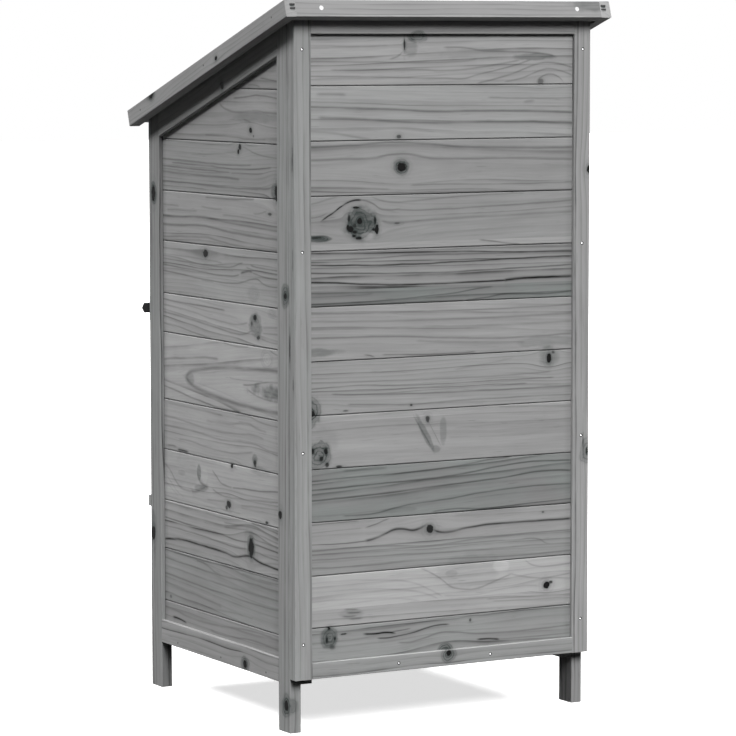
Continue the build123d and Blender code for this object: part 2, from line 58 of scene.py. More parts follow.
# Small garden shed in grey weathered pine, seen from behind.
# Metres, +Z up, the door is at -Y. Left and right are as seen by someone who faces the door.

# Camera, as worked out from the photograph
IMAGE_SIZE = 736
FOCAL_PIXELS = 3481.0
CAMERA_PLACE = (2.7566, 4.9094, 1.0591)
CAMERA_TURN = 150.639
CAMERA_TILT = 5.317
CAMERA_ROLL = -0.056
SENSOR_WIDTH = 36.0

# Light: one soft lamp for each of the two walls in the photograph, as high as the roof's shadow on
# that wall asks for. The fill lights the two walls that the photograph doesn't show.
BACK_LAMP_DIRECTION = Vector((0.12, 0.74, 0.667))
SIDE_LAMP_DIRECTION = Vector((0.61, 0.02, 0.79))
FILL_DIRECTION = Vector((-0.5, -0.5, 0.6))
BACK_LAMP_ANGLE = 28.0
SIDE_LAMP_ANGLE = 20.0
FILL_ANGLE = 20.0
BACK_LAMP_POWER = 4.24
SIDE_LAMP_POWER = 3.42
FILL_POWER = 4.8
WORLD_LEVEL = 0.035
FLOOR_SIZE = 60.0
FLOOR_GREY = 0.8
FLOOR_BOUNCE = 0.01
FLOOR_GLOW_NEAR = 0.7
FLOOR_GLOW_FAR = 1.0
FLOOR_FADE = (0.9, 3.0)
LAMP_DISTANCE = 4.0

# Roof slope, from the CAD side fascia
ROOF_SLOPE = 17.7

# One strip of a wall board: its lower limit, its grey as displayed, how green its stain is,
# how dark its growth lines are, where the middle of its growth rings lies, how they lean
# along the board, and how far apart they are. Heights and distances are in millimetres.
# FAR is a middle so far below the board that the rings show as nearly straight lines.
Strip = namedtuple("Strip", "low grey green contrast pith lean spacing")
FAR = -600.0
BACK_STRIPS = (
    Strip(100, 0.550, 0.35, 0.8, FAR, 0.00, 11),
    Strip(163, 0.610, 0.00, 0.5, FAR, 0.01, 8),
    Strip(190, 0.655, 0.00, 0.4, FAR, 0.00, 13),
    Strip(244, 0.560, 0.25, 0.7, FAR, 0.01, 10),
    Strip(285, 0.580, 0.00, 0.5, FAR, 0.00, 22),
    Strip(327, 0.512, 0.80, 0.9, FAR, -0.038, 15),
    Strip(409, 0.575, 0.00, 0.35, FAR, 0.01, 17),
    Strip(481, 0.600, 0.00, 0.3, FAR, 0.01, 20),
    Strip(492, 0.578, 0.10, 0.7, FAR, 0.00, 7),
    Strip(575, 0.582, 0.00, 0.6, FAR, 0.025, 13),
    Strip(659, 0.505, 1.00, 0.8, FAR, -0.02, 12),
    Strip(683.5, 0.556, 0.10, 1.4, FAR, 0.012, 14),
    Strip(744, 0.600, 0.00, 0.4, FAR, 0.01, 12),
    Strip(754.5, 0.555, 0.10, 0.45, FAR, -0.02, 14),
    Strip(828, 0.568, 0.05, 0.6, FAR, 0.015, 21),
    Strip(912, 0.600, 0.15, 0.8, FAR, 0.028, 16),
    Strip(996, 0.610, 0.00, 0.7, FAR, -0.02, 12),
)
RIGHT_STRIPS = (
    Strip(100, 0.530, 0.00, 0.6, FAR, 0.01, 10),
    Strip(146, 0.545, 0.25, 0.8, FAR, -0.03, 14),
    Strip(233, 0.585, 0.00, 1.2, FAR, -0.01, 13),
    Strip(313, 0.620, 0.00, 0.6, FAR, 0.02, 14),
    Strip(397, 0.602, 0.00, 0.5, FAR, 0.00, 11),
    Strip(480, 0.630, 0.00, 1.0, 522, 0.11, 26),
    Strip(590, 0.612, 0.00, 0.7, FAR, -0.05, 14),
    Strip(654, 0.585, 0.10, 0.8, FAR, 0.00, 9),
    Strip(740, 0.575, 0.00, 0.8, FAR, -0.01, 16),
    Strip(822, 0.550, 0.15, 0.7, FAR, 0.00, 8),
    Strip(906, 0.565, 0.00, 0.6, FAR, 0.00, 17),
    Strip(990, 0.555, 0.00, 0.5, FAR, 0.00, 12),
)

# A knot: place along the board and height, half height, stretch along the board, how far it bends
# the grain, and how black it is. Millimetres.
Knot = namedtuple("Knot", "along height size stretch reach dark")
BACK_KNOTS = (
    Knot(149, 788.5, 5.5, 0.85, 6.0, 1.0),
    Knot(170, 779, 4.5, 0.6, 1.2, 1.0),
    Knot(165, 776, 5, 1.1, 1.2, 1.0),
    Knot(158, 772, 2.6, 1.6, 1.2, 0.95),
    Knot(168, 793, 7, 0.35, 1.2, 0.8),
    Knot(158, 782, 3, 1.2, 1.2, 0.6),
    Knot(119, 775, 7.5, 0.5, 1.2, 1.0),
    Knot(124, 775, 2.2, 1.6, 1.2, 0.95),
    Knot(122, 789, 6.5, 0.3, 1.2, 0.85),
    Knot(159, 766, 2.2, 1.6, 1.2, 0.95),
    Knot(151, 762.5, 2.4, 2.6, 1.2, 0.95),
    Knot(155, 809.5, 1.9, 3.4, 1.2, 0.95),
    Knot(226, 765, 1.8, 6.0, 1.2, 0.6),
    Knot(83, 783.5, 1.8, 3.0, 2.0, 0.5),
    Knot(75, 870, 7.5, 1.15, 3.4, 1.0),
    Knot(80, 917, 3.5, 1.3, 2.5, 0.7),
    Knot(70, 1059, 10, 0.17, 1.2, 0.8),
    Knot(-178, 1000, 5, 1.2, 2.0, 0.5),
    Knot(-195, 562, 8, 0.6, 2.5, 1.0),
    Knot(-203, 571, 2.5, 1.5, 1.5, 0.6),
    Knot(234, 495, 5.5, 1.3, 3.0, 0.9),
    Knot(233, 438, 5, 0.8, 2.0, 0.9),
    Knot(209, 436, 5.5, 0.6, 2.0, 0.95),
    Knot(217, 425, 4, 0.8, 1.5, 0.85),
    Knot(207, 415, 4, 0.9, 1.5, 0.8),
    Knot(186, 411.5, 1.8, 3.0, 1.5, 0.8),
    Knot(24, 303.5, 7.5, 0.95, 2.6, 0.95),
    Knot(-192, 198, 6.5, 1.0, 2.6, 1.0),
    Knot(-200, 202, 2.5, 1.6, 1.5, 0.8),
    Knot(-185, 316, 1.8, 1.5, 1.5, 0.5),
    Knot(-50, 153, 2.8, 0.8, 2.5, 0.6),
    Knot(58, 500, 1.8, 1.4, 2.0, 0.7),
    Knot(174, 497, 1.5, 3.0, 2.0, 0.5),
    Knot(-7, 105, 6, 1.0, 4.0, 0.9),
    Knot(28, 476.5, 5.5, 0.75, 1.2, 0.75),
    Knot(204, 161, 2.2, 1.0, 1.2, 1.0),
    Knot(208, 143, 5.0, 0.35, 1.2, 0.85),
    Knot(194, 144, 2.6, 0.8, 1.2, 0.8),
    Knot(178, 150, 1.4, 4.0, 1.2, 0.8),
    Knot(199, 131, 3.5, 1.4, 1.2, 0.4),
)
RIGHT_KNOTS = (
    Knot(99, 926, 4.5, 1.2, 3.0, 1.0),
    Knot(108, 917, 2, 1.0, 1.5, 0.5),
    Knot(62, 899, 5, 1.0, 2.5, 0.9),
    Knot(57, 892, 4.5, 0.8, 2.0, 1.0),
    Knot(184, 832, 13, 0.45, 2.2, 0.95),
    Knot(162, 798, 2.6, 2.8, 2.5, 0.7),
    Knot(-60, 726, 6.5, 1.5, 3.2, 0.95),
    Knot(111, 635, 5, 1.2, 3.2, 0.9),
    Knot(100, 625, 3.5, 1.0, 2.0, 0.5),
    Knot(122, 604, 3.5, 1.8, 2.5, 0.75),
    Knot(109, 406, 6, 0.9, 3.0, 0.8),
    Knot(30, 393.5, 3.8, 1.1, 2.5, 1.0),
    Knot(19, 331, 6.5, 1.1, 2.6, 0.9),
    Knot(11, 325, 3.5, 1.2, 2.0, 0.7),
    Knot(148, 317, 2.4, 2.2, 2.0, 0.85),
    Knot(95, 272, 17, 0.6, 2.0, 1.0),
    Knot(-193, 154, 3, 1.3, 2.5, 0.4),
)

# A disc in the figure, such as the rings of a large knot, a stain or a pale eye: place along the board
# and height, its two radii, how dark it is (below 0 for pale), how strong its rings are and how far it
# leans along the board. Millimetres.
Disc = namedtuple("Disc", "along height wide tall shade rings lean", defaults=(0.0,))
BACK_DISCS = (
    Disc(146, 784, 36, 31, 0.28, 0.0),
    Disc(148, 784, 28, 26, 0.45, 0.30),
    Disc(136, 765, 14, 7, -0.4, 0.0),
    Disc(222, 763, 26, 6, 0.75, 0.2),
    Disc(47, 1073, 20, 14, 0.40, 0.2),
    Disc(59, 1054, 15, 17, 0.30, 0.0),
    Disc(-165, 1039, 42, 6, 0.40, 0.0),
    Disc(-60, 1044, 70, 11, 0.12, 0.0),
    Disc(-195, 565, 20, 18, 0.25, 0.0),
    Disc(240, 498, 26, 30, 0.42, 0.35),
    Disc(221, 430, 24, 22, 0.45, 0.3),
    Disc(215, 456, 32, 22, 0.14, 0.0),
    Disc(32, 453, 7, 32, 0.45, 0.0, 0.52),
    Disc(13, 429, 10, 7, 0.32, 0.0),
    Disc(0, 456, 7, 24, 0.28, 0.0),
    Disc(80, 337, 34, 5, 0.20, 0.0),
    Disc(225, 589, 48, 7, 0.38, 0.0),
    Disc(-188, 589, 60, 10, 0.22, 0.0),
    Disc(-50, 232, 66, 30, 0.13, 0.0),
    Disc(-16, 230, 13, 6, 0.16, 0.0),
    Disc(-107, 236, 16, 12, -0.30, 0.0),
    Disc(165, 181, 24, 9, 0.18, 0.0),
    Disc(203, 146, 18, 20, 0.6, 0.2),
    Disc(-4, 107, 17, 15, 0.45, 0.4),
    Disc(76, 870, 16, 14, 0.40, 0.25),
)
RIGHT_DISCS = (
    Disc(110, 945, 85, 9, 0.20, 0.0),
    Disc(113, 624, 24, 19, 0.40, 0.1),
    Disc(150, 573, 22, 18, 0.10, 0.12),
    Disc(150, 572, 13, 11, -0.12, 0.0),
    Disc(-118, 521, 19, 12, 0.22, 0.0),
    Disc(-92, 523, 16, 9, -0.10, 0.0),
    Disc(330, 522, 250, 17, 0.62, 0.0),
    Disc(108, 412, 10, 9, 0.35, 0.0),
    Disc(125, 396, 36, 8, 0.20, 0.0),
    Disc(-140, 366, 70, 27, 0.10, 0.0),
    Disc(-150, 364, 16, 5, 0.14, 0.0),
    Disc(-87, 371, 8, 15, 0.42, 0.0),
    Disc(-68, 368, 13, 13, -0.16, 0.0),
    Disc(-82, 346, 26, 7, 0.30, 0.0, 1.0),
    Disc(105, 672, 22, 14, 0.10, 0.15),
    Disc(168, 645, 16, 9, 0.10, 0.2),
    Disc(178, 833, 14, 14, 0.35, 0.3),
    Disc(95, 272, 15, 19, 0.35, 0.0),
    Disc(128, 205, 80, 24, 0.08, 0.0),
)

# A growth line or a crack: its half width, how dark it is, and the points that it runs through,
# each a place along the board and a height. Millimetres.
GrainLine = namedtuple("GrainLine", "width dark points")


def grain_lines(*rows):
    return [GrainLine(width, dark, sorted(points)) for width, dark, *points in rows]


BACK_LINES = grain_lines(
    (1.6, 0.85, (144, 147), (125, 145.5), (100, 146), (85, 143.5)),
    (1.3, 0.65, (120, 138.5), (100, 137.5), (80, 139), (60, 141), (30, 147), (10, 150), (-12, 149)),
    (0.9, 0.45, (97, 146.5), (75, 147.5), (58, 149)),
    (1.4, 0.32, (82, 128), (62, 126.5), (40, 130), (10, 137), (-20, 136), (-60, 131), (-240, 130)),
    (1.5, 0.8, (-62, 120.5), (-85, 120), (-106, 117.5)),
    (1.2, 0.22, (-100, 118), (-160, 117), (-240, 117)),
    (1.4, 0.2, (240, 158), (100, 153), (40, 157), (0, 160), (-240, 158)),
    (1.2, 0.2, (240, 139), (180, 139), (130, 141)),
    (1.2, 0.45, (178, 188), (166, 187.5), (152, 187)),
    (1.2, 0.5, (174, 183), (160, 182), (146, 182)),
    (1.2, 0.45, (182, 178), (168, 177), (154, 177)),
    (1.2, 0.4, (170, 172.5), (158, 172), (144, 172)),
    (1.3, 0.25, (-80, 184), (-170, 182), (-240, 179)),
    (1.1, 0.2, (-90, 180), (-160, 177), (-240, 175)),
    (1.6, 0.14, (240, 233), (120, 230), (53, 220), (20, 205), (0, 194)),
    (1.6, 0.14, (240, 218), (100, 214), (40, 204), (20, 197), (8, 191)),
    (1.6, 0.12, (240, 204), (100, 200), (60, 195), (42, 191)),
    (1.5, 0.26, (42, 243), (20, 233), (0, 220), (-13, 210), (-33, 204), (-63, 203), (-90, 210),
     (-130, 222)),
    (1.4, 0.22, (-150, 243), (-160, 235), (-175, 230), (-200, 228), (-240, 231)),
    (1.4, 0.22, (-120, 222), (-150, 215), (-185, 210), (-210, 211), (-240, 215)),
    (1.3, 0.14, (0, 196), (-60, 193), (-110, 198), (-150, 200), (-180, 197)),
    (1.2, 0.32, (240, 283), (0, 284), (-240, 284)),
    (1.3, 0.28, (240, 277), (0, 276), (-130, 275), (-180, 272), (-190, 266), (-210, 264)),
    (1.3, 0.28, (240, 269), (100, 267), (0, 265), (-100, 264), (-180, 264), (-240, 263)),
    (1.3, 0.28, (240, 257), (160, 254), (50, 255), (-60, 252), (-120, 250), (-240, 251)),
    (1.0, 0.5, (240, 293), (140, 292.5), (125, 294)),
    (2.0, 0.72, (142, 292.5), (120, 296), (105, 301), (90, 306.5), (75, 307), (55, 303.5), (45, 305),
     (30, 310)),
    (1.8, 0.72, (18, 302), (5, 297), (-15, 296), (-40, 300), (-80, 303), (-150, 303), (-240, 302)),
    (1.1, 0.42, (140, 313), (120, 318), (105, 323), (96, 325)),
    (1.1, 0.18, (240, 311), (190, 312), (145, 313)),
    (1.1, 0.32, (240, 323), (190, 324), (150, 325)),
    (1.2, 0.16, (-20, 321), (-80, 319), (-140, 318), (-240, 317)),
    (1.3, 0.45, (240, 391), (180, 393), (60, 395), (-10, 398), (-50, 402), (-80, 406), (-125, 408)),
    (1.4, 0.5, (240, 377), (130, 380), (0, 384), (-50, 388), (-100, 394), (-155, 398), (-240, 396)),
    (1.5, 0.52, (240, 361), (150, 363), (60, 367), (-50, 373), (-110, 376), (-175, 382), (-240, 380)),
    (1.3, 0.42, (180, 334), (110, 336), (90, 340), (60, 344), (0, 348), (-100, 357), (-240, 358.5)),
    (1.8, 0.28, (180, 404), (140, 404), (100, 404)),
    (1.2, 0.38, (20, 330), (-20, 332), (-60, 330), (-240, 328.5)),
    (2.4, 0.42, (53, 482), (43, 466), (34, 452), (20, 430)),
    (1.4, 0.25, (30, 479), (24, 468), (14, 450), (2, 430)),
    (1.2, 0.55, (223, 449), (218, 453), (211, 448)),
    (1.4, 0.12, (-10, 446), (-60, 444), (-240, 443)),
    (1.4, 0.1, (-20, 460), (-120, 461), (-240, 459)),
    (1.2, 0.16, (-100, 489), (-180, 486), (-240, 483)),
    (1.4, 0.24, (240, 543), (150, 541), (50, 539), (-50, 538), (-150, 539), (-200, 541)),
    (1.1, 0.36, (240, 533), (150, 535), (100, 533), (50, 531), (-100, 531), (-205, 531)),
    (1.1, 0.36, (240, 529), (150, 528), (50, 526), (-60, 525), (-155, 524)),
    (1.4, 0.36, (200, 524), (150, 521), (100, 519), (0, 517), (-240, 516)),
    (1.2, 0.32, (172, 507), (100, 503), (60, 501), (0, 502), (-60, 503), (-240, 502)),
    (1.4, 0.13, (-20, 552), (-60, 556), (-100, 561), (-130, 566)),
    (1.4, 0.3, (240, 649), (160, 647), (0, 645), (-100, 644), (-240, 646)),
    (1.8, 0.26, (240, 637), (150, 634), (60, 632), (-100, 631), (-240, 632)),
    (2.0, 0.2, (240, 625), (150, 623), (50, 621), (-50, 619), (-240, 619)),
    (1.6, 0.32, (240, 611), (150, 610), (80, 608), (20, 604), (-50, 600), (-100, 598), (-240, 600)),
    (2.0, 0.2, (50, 600), (0, 596), (-60, 593), (-150, 590)),
    (1.2, 0.5, (142, 582), (130, 580), (122, 577)),
    (1.2, 0.45, (110, 581), (60, 579), (30, 578), (-60, 578)),
    (1.2, 0.42, (240, 663), (130, 664), (80, 666), (30, 669), (-20, 672), (-60, 677), (-92, 680)),
    (1.3, 0.42, (-40, 660), (-80, 663), (-110, 667), (-150, 666), (-190, 665), (-240, 668)),
    (1.3, 0.22, (240, 674), (170, 674), (125, 676)),
    (1.0, 0.35, (240, 660), (0, 660.5), (-40, 660)),
    (2.0, 0.3, (240, 741), (150, 740), (80, 741), (-60, 741), (-240, 739)),
    (1.3, 0.36, (240, 730), (120, 731), (60, 733), (-100, 732), (-240, 733)),
    (1.2, 0.75, (240, 723), (120, 720), (60, 719.5), (-60, 721), (-150, 723), (-240, 723)),
    (1.3, 0.55, (240, 711), (120, 707), (60, 705.5), (0, 705), (-60, 706), (-240, 710)),
    (1.5, 0.8, (240, 697), (190, 695), (140, 691), (50, 688), (-60, 688), (-120, 688.5)),
    (2.3, 0.85, (-108, 688), (-130, 690), (-160, 691), (-240, 691)),
    (1.2, 0.42, (-65, 754), (-90, 751), (-110, 748), (-140, 745.5)),
    (1.5, 0.85, (217, 790), (205, 797), (197, 801), (185, 809.5), (172, 816.5), (162, 820), (152, 821),
     (144, 820.5)),
    (1.4, 0.36, (150, 821), (141, 820), (131, 817), (121, 812), (115, 807.5), (105, 805), (75, 805.5)),
    (1.4, 0.3, (90, 805), (60, 803), (40, 803), (-50, 805), (-240, 812)),
    (2.2, 0.26, (112, 789), (98, 785), (70, 785), (30, 787), (-60, 790), (-240, 794)),
    (1.3, 0.22, (240, 815), (220, 819), (200, 824), (185, 827)),
    (1.3, 0.24, (130, 826), (110, 819), (90, 816), (60, 817), (0, 821), (-60, 824), (-150, 826)),
    (1.3, 0.26, (240, 795), (225, 796), (205, 802)),
    (1.9, 0.36, (240, 903), (160, 905), (110, 908), (70, 908), (-20, 901), (-60, 899), (-240, 896)),
    (2.0, 0.32, (240, 883), (180, 884), (120, 885), (100, 889), (70, 890), (20, 883), (-100, 881),
     (-240, 877)),
    (1.2, 0.36, (240, 836), (200, 834), (100, 831), (0, 830), (-240, 829.5)),
    (1.2, 0.3, (60, 842), (0, 842), (-120, 840), (-240, 841)),
    (1.2, 0.16, (240, 842), (150, 838), (95, 837)),
    (1.8, 0.42, (240, 964), (150, 961), (60, 957), (30, 955), (-100, 955), (-240, 951)),
    (2.2, 0.4, (222, 948), (160, 945), (60, 939), (0, 937), (-60, 938), (-240, 935)),
    (1.8, 0.22, (240, 927), (200, 924), (160, 918), (128, 913)),
    (1.0, 0.26, (240, 972), (150, 969), (60, 965), (-100, 963), (-240, 961)),
    (2.2, 0.28, (225, 983), (200, 983), (172, 982)),
    (1.4, 0.25, (-80, 976), (-150, 974), (-240, 974)),
    (2.4, 0.28, (-145, 968), (-168, 970)),
    (1.4, 0.26, (240, 1033), (150, 1032), (0, 1031), (-40, 1033), (-62, 1036)),
    (1.4, 0.26, (200, 1020), (30, 1019), (0, 1018), (-40, 1020), (-80, 1025), (-140, 1034)),
    (1.3, 0.32, (240, 1010), (130, 1009), (0, 1006), (-40, 1006), (-60, 1011), (-90, 1017), (-160, 1034)),
    (1.5, 0.32, (-60, 998), (-90, 1004), (-120, 1011), (-170, 1027), (-190, 1030), (-240, 1021)),
    (1.4, 0.28, (-110, 1000), (-140, 1005), (-180, 1018), (-195, 1020), (-215, 1017), (-240, 1008)),
    (1.4, 0.32, (-170, 1000), (-180, 1008), (-195, 1012), (-210, 1008), (-221, 998)),
    (1.5, 0.38, (0, 1054), (-40, 1053), (-70, 1049), (-120, 1047), (-190, 1043), (-206, 1039)),
    (1.6, 0.2, (240, 1057), (150, 1056), (98, 1057)),
    (1.6, 0.3, (72, 1049), (78, 1043), (86, 1039), (97, 1036)),
)
RIGHT_LINES = grain_lines(
    (1.8, 0.22, (-215, 135), (-165, 133), (-140, 130), (-50, 129), (50, 136), (100, 139), (190, 136)),
    (1.5, 0.26, (-50, 119), (0, 118), (40, 120), (100, 124), (190, 121)),
    (1.6, 0.78, (-186, 121), (-170, 121.5), (-155, 121), (-134, 118.5)),
    (1.2, 0.16, (-100, 143), (0, 142), (190, 143)),
    (2.0, 0.22, (-215, 176), (-150, 172), (-100, 170), (-50, 166), (-8, 162)),
    (1.5, 0.32, (-215, 191), (-150, 189), (-50, 185), (0, 185), (60, 183), (190, 184)),
    (1.7, 0.26, (-215, 204), (-150, 202), (-50, 199), (30, 198), (190, 199)),
    (1.4, 0.3, (-215, 217), (-150, 215), (-30, 213), (60, 214), (190, 213)),
    (1.9, 0.3, (-100, 226), (-70, 225), (-50, 221), (-30, 215), (-8, 213)),
    (1.5, 0.48, (-215, 230), (-100, 229), (0, 230), (100, 231), (190, 231)),
    (1.2, 0.26, (60, 226), (120, 224), (190, 225)),
    (1.5, 0.16, (-215, 160), (-150, 157), (-100, 155), (-30, 156), (50, 159), (100, 158)),
    (2.0, 0.78, (-215, 247), (-190, 250), (-160, 253), (-60, 253), (0, 252), (40, 250), (80, 256),
     (95, 257), (110, 254), (130, 251), (190, 248)),
    (1.4, 0.36, (-215, 270), (-80, 269), (-20, 267), (40, 265), (82, 267)),
    (1.4, 0.36, (104, 265), (120, 266), (140, 264), (190, 262)),
    (1.3, 0.46, (-215, 284), (-150, 282), (-20, 280), (60, 277), (86, 279)),
    (1.4, 0.55, (105, 278), (125, 277), (150, 276), (190, 274)),
    (1.2, 0.26, (0, 293), (50, 295), (80, 297), (110, 295), (140, 293), (190, 288)),
    (1.2, 0.28, (0, 300), (60, 302), (100, 303), (140, 301), (190, 296)),
    (1.5, 0.4, (95, 311), (140, 308), (190, 303)),
    (1.2, 0.32, (82, 286), (95, 290), (108, 286), (150, 284), (190, 281)),
    (1.3, 0.42, (30, 359), (80, 362), (130, 364), (160, 367), (190, 370)),
    (1.4, 0.26, (-40, 350), (-20, 345), (10, 342), (40, 343), (120, 348), (190, 353)),
    (1.4, 0.22, (60, 334), (140, 339), (190, 341)),
    (1.2, 0.16, (60, 330), (190, 333)),
    (1.4, 0.2, (-60, 330), (-20, 332), (8, 334)),
    (2.0, 0.24, (-215, 374), (-190, 362), (-175, 350), (-155, 340), (-135, 337), (-110, 338), (-70, 350),
     (-55, 356)),
    (3.0, 0.42, (-92, 366), (-84, 358), (-72, 353), (-52, 350)),
    (2.6, 0.4, (-118, 338), (-100, 338), (-80, 344), (-60, 351)),
    (1.6, 0.32, (-40, 380), (-25, 372), (-10, 363), (10, 360), (32, 359)),
    (1.6, 0.12, (-215, 357), (-190, 345), (-170, 333), (-140, 325)),
    (1.6, 0.12, (-215, 345), (-190, 335), (-160, 323)),
    (1.2, 0.16, (-215, 320), (-100, 318), (0, 320), (60, 321)),
    (1.6, 0.78, (-165, 400), (-145, 400.5), (-124, 400)),
    (1.4, 0.4, (-202, 404), (-180, 405), (-168, 404)),
    (1.4, 0.22, (-160, 418), (-120, 419), (-60, 415), (0, 414), (40, 415), (102, 423)),
    (1.6, 0.24, (-215, 436), (-100, 436), (0, 432), (60, 435), (110, 436), (150, 431), (190, 429)),
    (1.5, 0.22, (-215, 452), (-150, 450), (-40, 444), (0, 444), (60, 447), (100, 450), (140, 447)),
    (1.9, 0.22, (-60, 458), (0, 459), (30, 460), (60, 465), (90, 466), (110, 462), (150, 459)),
    (1.8, 0.22, (-200, 474), (-100, 473), (0, 471)),
    (1.4, 0.26, (40, 475), (70, 478), (90, 478), (120, 473), (190, 470)),
    (3.4, 0.40, (-133, 523), (-120, 530), (-100, 535), (-60, 541), (-20, 546), (40, 550), (190, 557)),
    (3.4, 0.42, (-133, 521), (-115, 513), (-90, 507), (-60, 503), (20, 496), (70, 493), (190, 492)),
    (2.0, 0.32, (-215, 544), (-180, 549), (-140, 552), (-60, 559), (-15, 560)),
    (1.6, 0.42, (-215, 501), (-170, 497), (-120, 491), (-40, 484), (0, 482), (60, 482)),
    (1.5, 0.38, (68, 526), (100, 529), (130, 534), (190, 539)),
    (1.5, 0.34, (84, 520), (100, 516), (130, 511), (190, 509)),
    (1.3, 0.2, (20, 534), (60, 533), (100, 535), (140, 537)),
    (1.3, 0.32, (158, 588), (175, 583), (190, 581)),
    (1.3, 0.26, (0, 588), (20, 586), (60, 585), (90, 587)),
    (1.5, 0.3, (-215, 605), (-150, 601), (-100, 596), (-40, 591)),
    (1.5, 0.32, (-215, 623), (-100, 616), (-50, 612), (0, 608), (40, 605), (70, 606), (100, 613)),
    (1.5, 0.26, (-215, 635), (-100, 629), (-50, 624), (0, 621), (50, 620), (87, 625)),
    (1.4, 0.42, (-215, 644), (-150, 642), (-80, 641), (8, 640)),
    (1.2, 0.22, (130, 603), (160, 600), (190, 599)),
    (1.2, 0.22, (135, 612), (190, 614)),
    (1.2, 0.22, (135, 620), (190, 624)),
    (1.3, 0.36, (-215, 691), (-150, 688), (-50, 684), (50, 685), (80, 690), (100, 694), (120, 695),
     (135, 690), (150, 687), (190, 687)),
    (1.2, 0.26, (-80, 683), (-28, 682)),
    (1.2, 0.36, (-215, 701), (-100, 697), (30, 695), (60, 699)),
    (1.9, 0.66, (62, 701), (78, 704), (90, 706), (105, 705)),
    (1.3, 0.42, (100, 705), (120, 702), (140, 700), (190, 699)),
    (1.3, 0.32, (-215, 711), (-60, 708), (0, 708), (40, 711), (60, 716), (72, 717)),
    (1.2, 0.22, (-120, 706), (-60, 704), (40, 704)),
    (1.2, 0.2, (-215, 718), (-50, 716), (0, 714)),
    (1.3, 0.38, (95, 716), (130, 713), (190, 712)),
    (1.3, 0.3, (80, 712), (110, 709), (190, 705)),
    (2.0, 0.32, (-215, 746), (-90, 751), (-50, 752), (-20, 749), (60, 744), (190, 743)),
    (2.0, 0.36, (-215, 766), (-150, 767), (-70, 771), (-40, 769), (0, 766), (60, 763), (190, 760)),
    (1.8, 0.32, (-215, 781), (-150, 781), (-100, 784), (-60, 784), (20, 779), (190, 773)),
    (1.4, 0.22, (0, 790), (60, 790), (120, 787), (190, 785)),
    (1.5, 0.26, (-200, 791), (-130, 792), (-88, 793)),
    (1.8, 0.24, (-215, 799), (-152, 798)),
    (1.5, 0.2, (-75, 801), (-40, 799), (0, 799)),
    (1.4, 0.36, (-60, 816), (60, 817), (110, 819)),
    (1.3, 0.22, (105, 797), (130, 798), (152, 803)),
    (1.5, 0.32, (-215, 836), (-150, 837), (-50, 835), (60, 834), (120, 836), (160, 838), (176, 843)),
    (1.8, 0.32, (-215, 853), (-60, 850), (0, 850), (62, 848)),
    (1.3, 0.36, (-215, 862), (-100, 860), (28, 858)),
    (1.2, 0.22, (30, 857), (100, 858), (142, 860)),
    (1.3, 0.36, (-180, 868), (-50, 866), (70, 864), (130, 867), (168, 870)),
    (1.3, 0.32, (-215, 874), (-100, 872), (60, 870), (102, 872)),
    (1.4, 0.16, (-110, 883), (-50, 885), (50, 891)),
    (1.2, 0.28, (70, 900), (90, 896), (110, 891), (140, 887), (190, 885)),
    (1.4, 0.26, (-60, 915), (50, 914), (80, 912), (150, 913)),
    (1.9, 0.28, (-10, 968), (0, 962), (20, 956), (60, 953), (100, 955), (190, 953)),
    (1.5, 0.24, (73, 943), (102, 938)),
    (1.6, 0.32, (100, 956), (120, 956), (152, 954)),
    (1.3, 0.38, (40, 975), (90, 978), (120, 980), (190, 976)),
    (1.3, 0.26, (88, 996), (110, 996), (132, 993)),
    (1.3, 0.32, (130, 1007), (160, 1005), (190, 1002)),
)

# Knots and splits on the frame timbers: a place in the shed's own frame, half width, stretch
# along the grain and how black it is. Millimetres.
Blemish = namedtuple("Blemish", "place size stretch dark")
POST_BLEMISHES = (
    Blemish((266, 250, 885), 2.2, 9.0, 0.5),
    Blemish((266, 246, 876), 1.2, 14.0, 0.4),
    Blemish((266, 250, 729), 1.5, 15.0, 0.4),
    Blemish((266, 245, 700), 1.0, 30.0, 0.3),
    Blemish((266, 226, 676), 5, 1.0, 1.0),
    Blemish((266, 240, 597), 1.7, 14.0, 1.0),
    Blemish((266, 250.5, 541), 1.2, 9.0, 0.7),
    Blemish((266, 207, 337), 6, 1.2, 1.0),
    Blemish((266, 225, 42), 7.5, 1.2, 1.0),
    Blemish((266, -233, 816), 7, 1.9, 1.0),
    Blemish((266, -241, 254), 7.5, 1.8, 1.0),
    Blemish((266, -236, 225), 1.4, 16.0, 0.7),
    Blemish((-266, 256, 861), 6, 1.2, 1.0),
    Blemish((-264, 255.5, 410), 2.4, 2.2, 1.0),
    Blemish((-256, 255.5, 425), 1.0, 14.0, 0.6),
    Blemish((-238, 238, 48), 5, 1.2, 1.0),
)
CROSS_RAIL_BLEMISHES = (
    Blemish((-7, 256, 105), 5, 1.0, 1.0),
    Blemish((122, 278.5, 1110.5), 0.8, 95.0, 0.30),
    Blemish((26, 278.5, 1109.3), 0.8, 35.0, 0.30),
    Blemish((-58, 278.5, 1108.5), 0.8, 55.0, 0.25),
    Blemish((-145, 278.5, 1108.2), 0.8, 40.0, 0.40),
)
SIDE_RAIL_BLEMISHES = (Blemish((267, 87, 85), 6.5, 1.0, 1.0),)
SLOPE_BLEMISHES = (
    Blemish((291, -189, 977), 6, 1.4, 1.0),
    Blemish((291, 44, 1037), 4, 1.2, 1.0),
    Blemish((267, 16, 994), 7, 0.8, 1.0),
)

